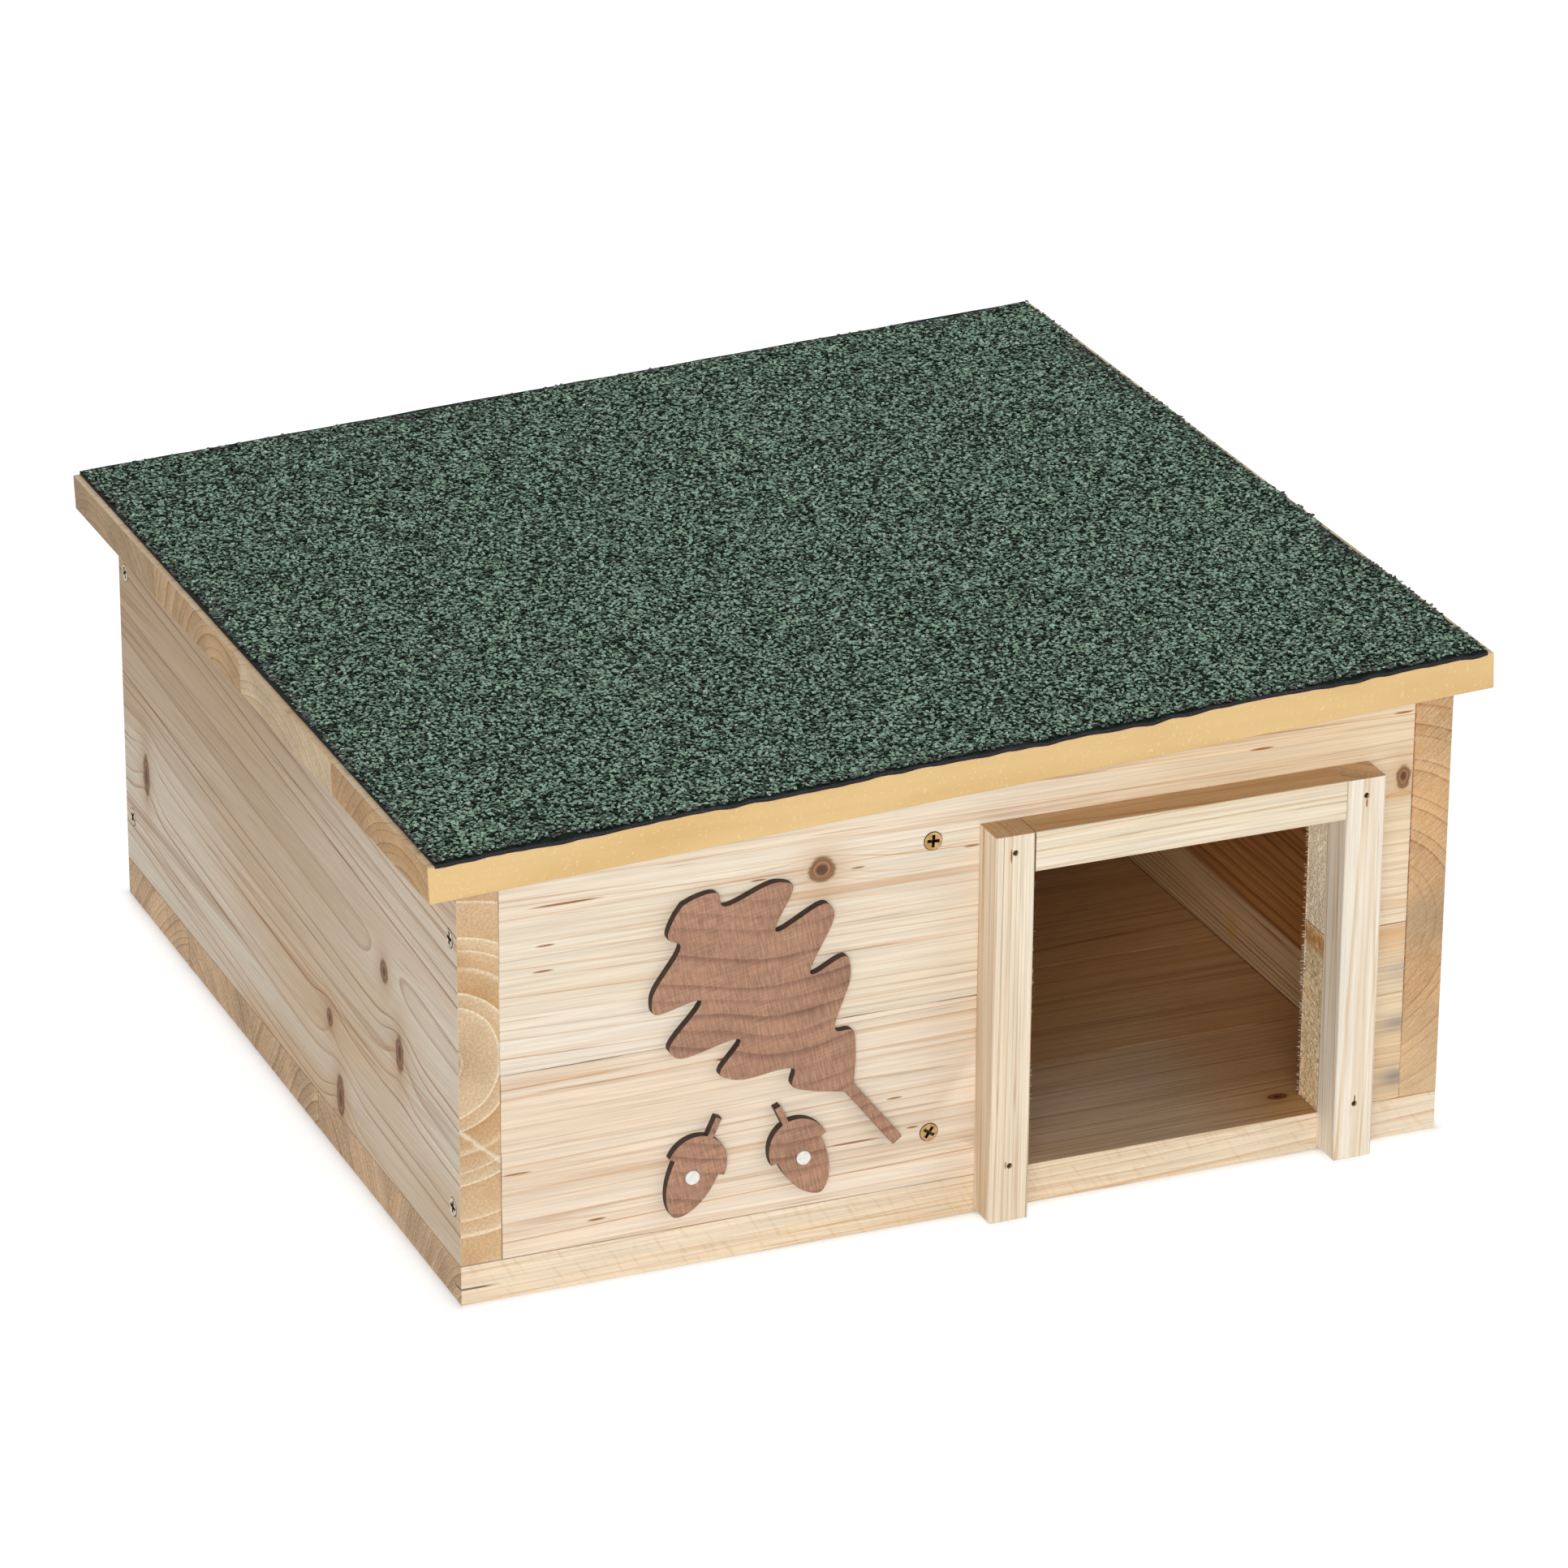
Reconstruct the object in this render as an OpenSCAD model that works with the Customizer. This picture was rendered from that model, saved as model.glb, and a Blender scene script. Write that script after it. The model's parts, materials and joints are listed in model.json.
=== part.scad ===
// Hedgehog house: a low box of glued pine boards with an inner wall, a framed doorway
// and a felted roof that is hinged at the back and falls towards the left.
// The origin lies on the ground under the middle of the floor. The doorway faces -Y.

/* [House] */
// Outer width of the box, left to right
house_w = 400; // [360:1:480]
// Outer depth of the box, front to back
house_d = 400; // [360:1:480]
// Height of the left wall's outer top edge above the ground
left_h = 168.5; // [166:0.5:190]
// Thickness of the wall boards
wall_t = 16; // [14:0.5:20]
// Thickness of the floor boards
floor_t = 16; // [12:0.5:20]
// Boards glued side by side in the floor
floor_boards = 5; // [3:1:5]
// Height of the glue line in the front, back and inner walls
joint_h = 90.5; // [70:0.5:110]

/* [Inner wall] */
// Distance from the doorway's left edge to the inner wall
partition_setback = 26.5; // [20:0.5:40]
// Width of the passage left open at the back of the inner wall
passage_w = 130; // [110:1:150]
// Gap between the inner wall's top and the roof
partition_gap = 3; // [1:0.5:6]

/* [Doorway] */
// Width of the doorway
door_w = 128; // [110:1:140]
// Height of the doorway above the floor
door_h = 128; // [110:1:132]
// Distance from the doorway to the right wall
door_margin = 35; // [30:1:50]
// Front width of the frame's battens
batten_w = 16; // [12:0.5:20]
// Depth of the frame's battens, out from the wall
batten_t = 15; // [10:0.5:20]
// Eased edge of the frame's battens
arris = 0.6; // [0.2:0.1:1.5]
// Height of the uprights' feet above the ground
jamb_foot = 2; // [1:0.5:6]
// Shank of the frame's brads
brad_d = 1.4; // [1:0.1:2]
// Head of the frame's brads
brad_head_d = 2.2; // [2.1:0.1:3]
// Length of the frame's brads
brad_l = 26; // [22:1:28]
// Distance of the brads from the lintel's underside and from the floor
brad_inset = 9; // [6:1:14]

/* [Leaf plaque] */
// Distance from the left wall to the middle of the plaque's place
plaque_from_left = 107; // [98:1:110]
// Height of the middle of the plaque's place above the floor
plaque_h = 70; // [68:1:72]
// Thickness of the plaque wood
plaque_t = 3.5; // [2:0.5:6]
// Length of the leaf's blade
leaf_len = 112; // [90:1:114]
// Widest width of the leaf
leaf_w = 80; // [70:1:94]
// Length of the leaf's stalk
stalk_len = 28; // [15:1:30]
// Width of the leaf's stalk
stalk_w = 4.5; // [3:0.5:6]
// Lean of the leaf towards the left, in degrees
leaf_lean = 38; // [30:1:45]
// Distance of the blade's foot to the right of the middle
leaf_right = 32; // [26:1:36]
// Distance of the blade's foot below the middle
leaf_below = 26; // [24:1:30]
// Length of an acorn with its cup
acorn_len = 34; // [26:1:35]
// Width of an acorn's cup
acorn_w = 24; // [18:1:28]
// Length of an acorn's stem
stem_len = 8; // [4:0.5:9]
// Width of an acorn's stem
stem_w = 2.6; // [2:0.2:4]
// Lean of the acorns away from each other, in degrees
acorn_lean = 25; // [15:1:30]
// Distance between the tops of the acorns' cups
acorn_spread = 30; // [24:1:36]
// Distance of the acorns to the left of the middle
acorn_left = 11; // [6:1:16]
// Distance of the tops of the acorns' cups below the middle
acorn_below = 33; // [32:1:35]
// Diameter of an acorn's white dot
dot_d = 5.6; // [4:0.2:8]
// Thickness of an acorn's white dot
dot_t = 1; // [0.8:0.1:1.5]
// Depth to which an acorn's white dot is let in
dot_sunk = 0.7; // [0.4:0.1:0.8]

/* [Screws] */
// Shank of the wood screws
screw_d = 4; // [3.5:0.1:4.5]
// Head of the wood screws
screw_head_d = 8; // [7:0.1:9]
// Length of the screws in the walls
wall_screw_l = 40; // [30:1:45]
// Length of the screws in the floor
floor_screw_l = 30; // [25:1:32]
// Height of the lower screws in the side walls
screw_low = 37; // [34:0.5:60]
// Height of the upper screws in the side walls
screw_high = 145; // [120:0.5:152]
// Height of the upper screw that holds the inner wall
partition_screw_high = 156; // [130:0.5:160]
// Spacing of the floor's screws under the back wall
back_screw_pitch = 220; // [160:1:260]
// Spacing of the floor's screws under the front wall, left of the doorway
front_screw_pitch = 90; // [60:1:110]
// Clearance between a screw or brad and its hole
screw_fit = 0.05; // [0.02:0.01:0.1]

/* [Roof] */
// Fall of the roof towards the left, in degrees
roof_fall = 2.5; // [0:0.1:4]
// Thickness of the roof boards
roof_t = 14.5; // [12:0.5:20]
// Boards glued side by side in the roof
roof_boards = 4; // [3:1:5]
// Overhang past the left wall
overhang_left = 14; // [5:1:30]
// Overhang past the right wall
overhang_right = 11; // [5:1:30]
// Overhang past the front wall
overhang_front = 11; // [5:1:30]
// Overhang past the back wall
overhang_back = 11; // [8:1:20]
// Thickness of the roofing felt with its chippings
felt_t = 2.7; // [1.5:0.1:4]
// Distance of the felt's edge from the roof's edge
felt_inset = 1.5; // [0:0.1:5]
// Gap between the closed roof and the walls
roof_gap = 0.3; // [0.2:0.1:1]

/* [Hinges] */
// Distance of each hinge's middle from the side wall's outer face
hinge_inset = 80; // [60:1:120]
// Length of a hinge along its pin
hinge_l = 50; // [40:1:60]
// Reach of a leaf from the pin's middle
leaf_reach = 16; // [14.5:0.1:16.5]
// Thickness of a leaf
leaf_t = 1.2; // [0.8:0.1:1.6]
// Outside diameter of the knuckles
knuckle_d = 5; // [4.4:0.1:6]
// Diameter of the pin
pin_d = 2.4; // [2:0.1:3]
// Clearance round the pin
pin_fit = 0.05; // [0.02:0.01:0.1]
// Gap between knuckles, and round them
knuckle_gap = 0.3; // [0.2:0.05:0.6]
// Knuckles in one hinge
knuckles = 5; // [3:2:7]
// Distance between the screws of one leaf
hinge_screw_pitch = 30; // [20:1:36]
// Shank of the hinge screws
hinge_screw_d = 3; // [2.5:0.1:3.5]
// Length of the hinge screws
hinge_screw_l = 12; // [8:0.5:13]

/* [Hidden] */
half_w = house_w / 2;
half_d = house_d / 2;
inner_w = half_w - wall_t;
inner_d = half_d - wall_t;
door_right = inner_w - door_margin;
door_left = door_right - door_w;
door_top = floor_t + door_h;
partition_right = door_left - partition_setback;
partition_left = partition_right - wall_t;
partition_x = partition_right - wall_t / 2;
partition_back = inner_d - passage_w;
floor_board_w = house_d / floor_boards;
roof_run = house_w / cos(roof_fall);
roof_len = overhang_left + roof_run + overhang_right;
roof_d = overhang_front + house_d + overhang_back;
roof_board_w = roof_d / roof_boards;
hinge_z = roof_gap - knuckle_gap - knuckle_d / 2;
hinge_y = half_d + knuckle_gap + knuckle_d / 2;
knuckle_l = hinge_l / knuckles;
hinge_screw_y = half_d - wall_t / 2 - hinge_y;
hinge_screw_head_d = hinge_screw_d + 2 * leaf_t;
notch_play = 0.5;
plaque_x = plaque_from_left - inner_w;
plaque_z = floor_t + plaque_h;
acorn_cup_share = 0.38;
acorn_nut_share = 0.8;
leaf_steps = 96;
leaf_lobes = 4.5;
leaf_lobe_depth = 0.52;
leaf_notch = 2;
leaf_sweep = 0.3;
leaf_widest = 1.3;
leaf_bluntness = 0.7;
nut_swell = 2.2;
nut_bluntness = 0.62;
brad_head_t = 1;
cross_reach = 0.52;
cross_width = 0.14;
cross_depth = 0.8;
cut = 1;
$fn = 64;

pine = "#E6CFA8";
pine_dark = "#D3B58A";
walnut = "#7E573F";
zinc = "#C9B26E";
steel = "#B8BABD";

// Height of the walls' tops at a distance x to the right of the middle
function roof_line(x) = left_h + (x + half_w) * tan(roof_fall);

// Middle of a floor board, counted from the front
function floor_board_y(i) = -half_d + (i - 0.5) * floor_board_w;

// Centres of the floor's screws: side walls, back wall, front wall, inner wall
function floor_screw_places() = concat(
    [for (side = [-1, 1], i = [1, floor_boards]) [side * (half_w - wall_t / 2), floor_board_y(i)]],
    [for (side = [-1, 1]) [side * back_screw_pitch / 2, half_d - wall_t / 2]],
    [for (side = [-1, 1]) [(door_left - inner_w + side * front_screw_pitch) / 2, wall_t / 2 - half_d]],
    [[(door_right + inner_w) / 2, wall_t / 2 - half_d]],
    [for (i = [1, 2]) [partition_x, floor_board_y(i)]]
);

// Half width of the leaf at a share t of its length, with round lobes and narrow notches
function leaf_half(t) =
    let (swell = pow(sin(180 * pow(t, leaf_widest)), leaf_bluntness))
    let (lobe = 1 - leaf_lobe_depth * pow((1 + cos(360 * leaf_lobes * t)) / 2, leaf_notch))
    max(stalk_w / 2 * (1 - t), leaf_w / 2 * swell * lobe);

// Point of the leaf's outline, with the lobes swept towards its tip
function leaf_point(t, side) = [side * leaf_half(t), leaf_len * t + leaf_sweep * leaf_half(t) * (1 - t)];

// Half width of an acorn at a distance s from its stem
function acorn_half(s) =
    let (cup_l = acorn_len * acorn_cup_share)
    let (nut_share = (s - cup_l) / (acorn_len - cup_l))
    s < cup_l
        ? max(stem_w / 2, acorn_w / 2 * sqrt(1 - pow(1 - s / cup_l, 2)))
        : acorn_w / 2 * acorn_nut_share * pow(1 - pow(nut_share, nut_swell), nut_bluntness);

// Places children on the plane of the walls' tops, with x along the slope from the left wall
module on_slope() {
    translate([-half_w, 0, left_h]) rotate([0, -roof_fall, 0]) children();
}

// Extrudes an outline in x and z from the front at y0 to the back at y1
module slab(outline, y0, y1) {
    translate([0, y1, 0]) rotate([90, 0, 0]) linear_extrude(y1 - y0) polygon(outline);
}

// Countersunk screw with a cross recess, driven along +z from its head at the origin
module screw(d, head_d, l) {
    head_h = (head_d - d) / 2;
    difference() {
        rotate_extrude() polygon([
            [0, 0], [head_d / 2, 0], [d / 2, head_h], [d / 2, l - d], [0, l]
        ]);
        for (turn = [45, 135])
            rotate([0, 0, turn])
                translate([-head_d * cross_reach / 2, -head_d * cross_width / 2, -cut])
                    cube([head_d * cross_reach, head_d * cross_width, head_h * cross_depth + cut]);
    }
}

// Hole that a screw fills, open above its head
module screw_hole(d, head_d, l) {
    head_h = (head_d - d) / 2;
    rotate_extrude() polygon([
        [0, -cut], [head_d / 2 + screw_fit, -cut], [head_d / 2 + screw_fit, 0],
        [d / 2 + screw_fit, head_h], [d / 2 + screw_fit, l + screw_fit], [0, l + screw_fit]
    ]);
}

module at_wall_screws() {
    for (side = [-1, 1], end = [-1, 1], z = [screw_low, screw_high])
        translate([side * half_w, end * (half_d - wall_t / 2), z])
            rotate([0, -side * 90, 0]) children();
}

module at_partition_screws() {
    for (z = [screw_low, partition_screw_high])
        translate([partition_x, -half_d, z]) rotate([-90, 0, 0]) children();
}

module at_floor_screws() {
    for (place = floor_screw_places()) translate([place.x, place.y, 0]) children();
}

module at_brads() {
    for (x = [door_left - batten_w / 2, door_right + batten_w / 2])
        for (z = [floor_t + brad_inset, door_top + brad_inset])
            translate([x, -half_d - batten_t, z]) rotate([-90, 0, 0]) children();
}

// Middle of a hinge's pin, with x along it; side is -1 for the left hinge
module at_hinge(side) {
    on_slope() translate([roof_run / 2 + side * (roof_run / 2 - hinge_inset), hinge_y, hinge_z]) children();
}

module at_hinge_screws() {
    for (side = [-1, 1], end = [-1, 1])
        at_hinge(side) translate([end * hinge_screw_pitch / 2, hinge_screw_y, 0]) children();
}

module wall_screw_holes() {
    at_wall_screws() screw_hole(screw_d, screw_head_d, wall_screw_l);
}

module partition_screw_holes() {
    at_partition_screws() screw_hole(screw_d, screw_head_d, wall_screw_l);
}

module floor_screw_holes() {
    at_floor_screws() screw_hole(screw_d, screw_head_d, floor_screw_l);
}

module brad_holes() {
    at_brads() {
        cylinder(d = brad_d + 2 * screw_fit, h = brad_l + screw_fit);
        translate([0, 0, -cut]) cylinder(d = brad_head_d + 2 * screw_fit, h = brad_head_t + cut);
    }
}

// Screw places on the upper face of the wall leaf
module at_hinge_wall_screws() {
    at_hinge_screws() translate([0, 0, leaf_t - knuckle_d / 2]) rotate([180, 0, 0]) children();
}

// Screw places on the lower face of the roof leaf
module at_hinge_roof_screws() {
    at_hinge_screws() translate([0, 0, knuckle_d / 2 + knuckle_gap - leaf_t]) children();
}

module hinge_screw_hole() {
    screw_hole(hinge_screw_d, hinge_screw_head_d, hinge_screw_l);
}

// Floor

module floor_board(i) {
    color(pine) difference() {
        translate([-half_w, -half_d + (i - 1) * floor_board_w, 0]) cube([house_w, floor_board_w, floor_t]);
        floor_screw_holes();
    }
}

// Walls

module side_wall(x0, x1) {
    color(pine_dark) difference() {
        slab([[x0, floor_t], [x1, floor_t], [x1, roof_line(x1)], [x0, roof_line(x0)]], -half_d, half_d);
        wall_screw_holes();
        floor_screw_holes();
    }
}

module left_wall() {
    side_wall(-half_w, -inner_w);
}

module right_wall() {
    side_wall(inner_w, half_w);
}

// Board of the front wall, with the holes that cross it
module front_board(outline) {
    color(pine) difference() {
        slab(outline, -half_d, -inner_d);
        wall_screw_holes();
        partition_screw_holes();
        floor_screw_holes();
        brad_holes();
    }
}

module front_wall_lower_left() {
    front_board([[-inner_w, floor_t], [door_left, floor_t], [door_left, joint_h], [-inner_w, joint_h]]);
}

module front_wall_lower_right() {
    front_board([[door_right, floor_t], [inner_w, floor_t], [inner_w, joint_h], [door_right, joint_h]]);
}

// The doorway is cut up into the upper board
module front_wall_upper() {
    front_board([
        [-inner_w, joint_h], [door_left, joint_h], [door_left, door_top], [door_right, door_top],
        [door_right, joint_h], [inner_w, joint_h], [inner_w, roof_line(inner_w)],
        [-inner_w, roof_line(-inner_w)]
    ]);
}

// Notches in the top of the back wall, which take the hinges' leaves
module hinge_notches() {
    for (side = [-1, 1])
        at_hinge(side)
            translate([-hinge_l / 2 - notch_play, -hinge_y + inner_d - cut, -knuckle_d / 2])
                cube([hinge_l + 2 * notch_play, wall_t + 2 * cut, knuckle_d + cut]);
}

module back_board(outline) {
    color(pine) difference() {
        slab(outline, inner_d, half_d);
        wall_screw_holes();
        floor_screw_holes();
        hinge_notches();
        at_hinge_wall_screws() hinge_screw_hole();
    }
}

module back_wall_lower() {
    back_board([[-inner_w, floor_t], [inner_w, floor_t], [inner_w, joint_h], [-inner_w, joint_h]]);
}

module back_wall_upper() {
    back_board([
        [-inner_w, joint_h], [inner_w, joint_h], [inner_w, roof_line(inner_w)],
        [-inner_w, roof_line(-inner_w)]
    ]);
}

module partition_board(outline) {
    color(pine) difference() {
        slab(outline, -inner_d, partition_back);
        partition_screw_holes();
        floor_screw_holes();
    }
}

module partition_lower() {
    partition_board([
        [partition_left, floor_t], [partition_right, floor_t],
        [partition_right, joint_h], [partition_left, joint_h]
    ]);
}

module partition_upper() {
    partition_board([
        [partition_left, joint_h], [partition_right, joint_h],
        [partition_right, roof_line(partition_right) - partition_gap],
        [partition_left, roof_line(partition_left) - partition_gap]
    ]);
}

// Door frame

// Section of a frame batten with eased edges, from its back left corner
module batten_section() {
    polygon([
        [arris, -batten_t], [batten_w - arris, -batten_t], [batten_w, arris - batten_t],
        [batten_w, 0], [0, 0], [0, arris - batten_t]
    ]);
}

module jamb(x) {
    color(pine) difference() {
        translate([x, -half_d, jamb_foot]) linear_extrude(door_top + batten_w - jamb_foot) batten_section();
        brad_holes();
    }
}

module left_jamb() {
    jamb(door_left - batten_w);
}

module right_jamb() {
    jamb(door_right);
}

module lintel() {
    color(pine)
        translate([door_left, -half_d, door_top + batten_w])
            rotate([0, 90, 0]) linear_extrude(door_w) batten_section();
}

// Plaque

// Places children on the front wall's face, x to the right and y up, turned about their own origin
module on_front(x, z, turn) {
    translate([plaque_x + x, -half_d, plaque_z + z]) rotate([90, 0, 0]) rotate([0, 0, turn]) children();
}

module leaf_plaque() {
    shares = [for (i = [0 : leaf_steps]) i / leaf_steps];
    outline = concat(
        [[-stalk_w / 2, -stalk_len], [stalk_w / 2, -stalk_len]],
        [for (t = shares) leaf_point(t, 1)],
        [for (i = [leaf_steps - 1 : -1 : 0]) leaf_point(shares[i], -1)]
    );
    color(walnut) on_front(leaf_right, -leaf_below, leaf_lean) linear_extrude(plaque_t) polygon(outline);
}

// Top of an acorn's cup, with y towards the acorn's point; side is -1 for the left acorn
module at_acorn(side) {
    on_front(side * acorn_spread / 2 - acorn_left, -acorn_below, 180 + side * acorn_lean) children();
}

// Middle of an acorn's dot, at the foot of its hole
module at_dot(side) {
    at_acorn(side) translate([0, acorn_len / 2, plaque_t - dot_sunk]) children();
}

module acorn_plaque(side) {
    steps = [for (i = [0 : leaf_steps]) acorn_len * i / leaf_steps];
    outline = concat(
        [[-stem_w / 2, -stem_len], [stem_w / 2, -stem_len]],
        [for (s = steps) [acorn_half(s), s]],
        [for (i = [leaf_steps - 1 : -1 : 0]) [-acorn_half(steps[i]), steps[i]]]
    );
    color(walnut) difference() {
        at_acorn(side) linear_extrude(plaque_t) polygon(outline);
        at_dot(side) cylinder(d = dot_d + 2 * screw_fit, h = dot_sunk + cut);
    }
}

module plaque_dots() {
    color("white") for (side = [-1, 1]) at_dot(side) cylinder(d = dot_d, h = dot_t);
}

// Fasteners

module wall_screws() {
    color(zinc) at_wall_screws() screw(screw_d, screw_head_d, wall_screw_l);
}

module partition_screws() {
    color(zinc) at_partition_screws() screw(screw_d, screw_head_d, wall_screw_l);
}

module floor_screws() {
    color(zinc) at_floor_screws() screw(screw_d, screw_head_d, floor_screw_l);
}

module frame_brads() {
    color(steel) at_brads() {
        cylinder(d = brad_d, h = brad_l);
        cylinder(d = brad_head_d, h = brad_head_t);
    }
}

// Hinges

// Plate and knuckles of one leaf, about the pin's middle; first is 0 or 1, the first knuckle it holds
module hinge_leaf(plate_z, first) {
    knuckle_r = knuckle_d / 2;
    difference() {
        union() {
            translate([-hinge_l / 2, -leaf_reach, plate_z])
                cube([hinge_l, leaf_reach - knuckle_r - knuckle_gap, leaf_t]);
            for (i = [first : 2 : knuckles - 1])
                translate([-hinge_l / 2 + i * knuckle_l + knuckle_gap / 2, 0, 0]) {
                    rotate([0, 90, 0]) cylinder(d = knuckle_d, h = knuckle_l - knuckle_gap);
                    translate([0, -leaf_reach / 2, plate_z])
                        cube([knuckle_l - knuckle_gap, leaf_reach / 2, leaf_t]);
                }
        }
        translate([-hinge_l / 2 - cut, 0, 0]) rotate([0, 90, 0])
            cylinder(d = pin_d + 2 * pin_fit, h = hinge_l + 2 * cut);
    }
}

module hinge_wall_leaf(side) {
    color(steel) difference() {
        at_hinge(side) hinge_leaf(-knuckle_d / 2, 0);
        at_hinge_wall_screws() hinge_screw_hole();
    }
}

module hinge_roof_leaf(side) {
    color(steel) difference() {
        at_hinge(side) hinge_leaf(knuckle_d / 2 + knuckle_gap - leaf_t, 1);
        at_hinge_roof_screws() hinge_screw_hole();
    }
}

module hinge_pin(side) {
    color(steel) at_hinge(side)
        translate([-hinge_l / 2, 0, 0]) rotate([0, 90, 0]) cylinder(d = pin_d, h = hinge_l);
}

module hinge_wall_screws() {
    color(steel) at_hinge_wall_screws() screw(hinge_screw_d, hinge_screw_head_d, hinge_screw_l);
}

module hinge_roof_screws() {
    color(steel) at_hinge_roof_screws() screw(hinge_screw_d, hinge_screw_head_d, hinge_screw_l);
}

// Roof

module roof_board(i) {
    color(pine_dark) difference() {
        on_slope()
            translate([-overhang_left, -half_d - overhang_front + (i - 1) * roof_board_w, roof_gap])
                cube([roof_len, roof_board_w, roof_t]);
        at_hinge_roof_screws() hinge_screw_hole();
    }
}

module roof_felt() {
    color("#3F6553")
        on_slope()
            translate([felt_inset - overhang_left, felt_inset - half_d - overhang_front, roof_gap + roof_t])
                cube([roof_len - 2 * felt_inset, roof_d - 2 * felt_inset, felt_t]);
}

for (i = [1 : floor_boards])
    floor_board(i);
left_wall();
right_wall();
front_wall_lower_left();
front_wall_lower_right();
front_wall_upper();
back_wall_lower();
back_wall_upper();
partition_lower();
partition_upper();
left_jamb();
right_jamb();
lintel();
leaf_plaque();
acorn_plaque(-1);  // left_acorn_plaque
acorn_plaque(1);  // right_acorn_plaque
plaque_dots();
wall_screws();
partition_screws();
floor_screws();
frame_brads();
hinge_wall_leaf(-1);  // left_hinge_wall_leaf
hinge_pin(-1);  // left_hinge_pin
hinge_roof_leaf(-1);  // left_hinge_roof_leaf
hinge_wall_leaf(1);  // right_hinge_wall_leaf
hinge_pin(1);  // right_hinge_pin
hinge_roof_leaf(1);  // right_hinge_roof_leaf
hinge_wall_screws();
hinge_roof_screws();
for (i = [1 : roof_boards])
    roof_board(i);
roof_felt();
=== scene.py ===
import json
import math
import random

import bmesh
import bpy
import numpy as np
from mathutils import Matrix, Vector, noise


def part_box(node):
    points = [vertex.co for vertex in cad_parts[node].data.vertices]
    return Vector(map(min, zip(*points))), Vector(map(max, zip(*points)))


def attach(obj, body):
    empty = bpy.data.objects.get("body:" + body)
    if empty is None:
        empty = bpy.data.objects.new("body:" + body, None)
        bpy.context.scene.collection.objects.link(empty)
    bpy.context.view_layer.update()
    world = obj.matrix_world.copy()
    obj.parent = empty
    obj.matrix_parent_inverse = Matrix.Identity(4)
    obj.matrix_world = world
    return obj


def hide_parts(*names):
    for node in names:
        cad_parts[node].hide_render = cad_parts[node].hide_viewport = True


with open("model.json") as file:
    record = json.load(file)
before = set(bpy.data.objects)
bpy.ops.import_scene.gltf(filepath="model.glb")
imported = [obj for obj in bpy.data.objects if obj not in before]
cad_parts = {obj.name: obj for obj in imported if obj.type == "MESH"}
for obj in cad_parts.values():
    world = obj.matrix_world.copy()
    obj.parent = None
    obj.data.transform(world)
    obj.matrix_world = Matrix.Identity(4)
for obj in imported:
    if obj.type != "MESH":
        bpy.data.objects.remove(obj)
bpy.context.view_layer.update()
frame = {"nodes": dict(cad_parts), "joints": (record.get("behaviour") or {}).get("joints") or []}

# Floor
# Five pine boards glued edge to edge into one panel that the walls stand on. They run from left to right,
# so the front edge shows long grain and the left and right edges show the boards' sawn ends.
mm = 0.001


def maths(operation, turned_round=False):
    """A method of a Shade that adds one Math node."""
    def method(self, other=0.0):
        first, second = (other, self) if turned_round else (self, other)
        return self.node("Math", {"operation": operation}, {"Value": first, "Value_001": second})
    return method


class Shade:
    """One socket of a material. Arithmetic on it adds Math nodes to the material."""

    def __init__(self, socket):
        self.socket = socket

    def node(self, kind, settings, inputs, output=0):
        """Adds a node, with its settings made first, and gives one of its outputs."""
        made = self.socket.id_data.nodes.new("ShaderNode" + kind)
        for name, value in settings.items():
            setattr(made, name, value)
        for name, value in inputs.items():
            plug(next(s for s in made.inputs if s.identifier == name), value)
        return Shade(made.outputs[output])

    def of(self, output):
        """Another output of the same node."""
        return Shade(self.socket.node.outputs[output])

    __add__ = __radd__ = maths("ADD")
    __sub__ = maths("SUBTRACT")
    __rsub__ = maths("SUBTRACT", turned_round=True)
    __mul__ = __rmul__ = maths("MULTIPLY")
    __truediv__ = maths("DIVIDE")
    __pow__ = maths("POWER")
    __abs__ = maths("ABSOLUTE")
    fraction = maths("FRACT")
    floor = maths("FLOOR")
    least = maths("MINIMUM")
    most = maths("MAXIMUM")
    exponent = maths("EXPONENT")

    def span(self, other):
        """The straight distance to a point that lies this far one way and that far the other."""
        return (self * self + other * other) ** 0.5

    def bell(self):
        """Falls from 1 at zero to nothing, as a bell curve does."""
        return (self * self * -1.0).exponent()

    def rise(self, low, high):
        """0 below low and 1 above high, with a soft step between."""
        settings = {"interpolation_type": "SMOOTHSTEP"}
        return self.node("MapRange", settings, {"Value": self, "From Min": low, "From Max": high}, "Result")

    def between(self, first, second):
        """A colour between two others, by this share."""
        inputs = {"Factor_Float": self, "A_Color": first, "B_Color": second}
        return self.node("Mix", {"data_type": "RGBA"}, inputs, 2)

    def scaled(self, share):
        """This colour made lighter or darker."""
        return self.node("VectorMath", {"operation": "SCALE"}, {"Vector": self, "Scale": share})

    def tinted(self, share, tint):
        """This colour multiplied by another, by a share."""
        inputs = {"Factor_Float": share, "A_Color": self, "B_Color": tint}
        return self.node("Mix", {"data_type": "RGBA", "blend_type": "MULTIPLY"}, inputs, 2)

    def noise(self, stretch, offset, detail=2.0):
        """Noise at this place, with its three frequencies per metre and an offset that makes it differ."""
        moved = self.node("Mapping", {}, {"Vector": self, "Scale": stretch, "Location": offset})
        return self.node("TexNoise", {}, {"Vector": moved, "Scale": 1.0, "Detail": detail})


def paint(code):
    """A colour written as six hex digits, in the shader's linear red, green, blue and alpha."""
    shares = [int(code[i:i + 2], 16) / 255 for i in (0, 2, 4)]
    return [*(((s + 0.055) / 1.055) ** 2.4 if s > 0.04045 else s / 12.92 for s in shares), 1.0]


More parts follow.
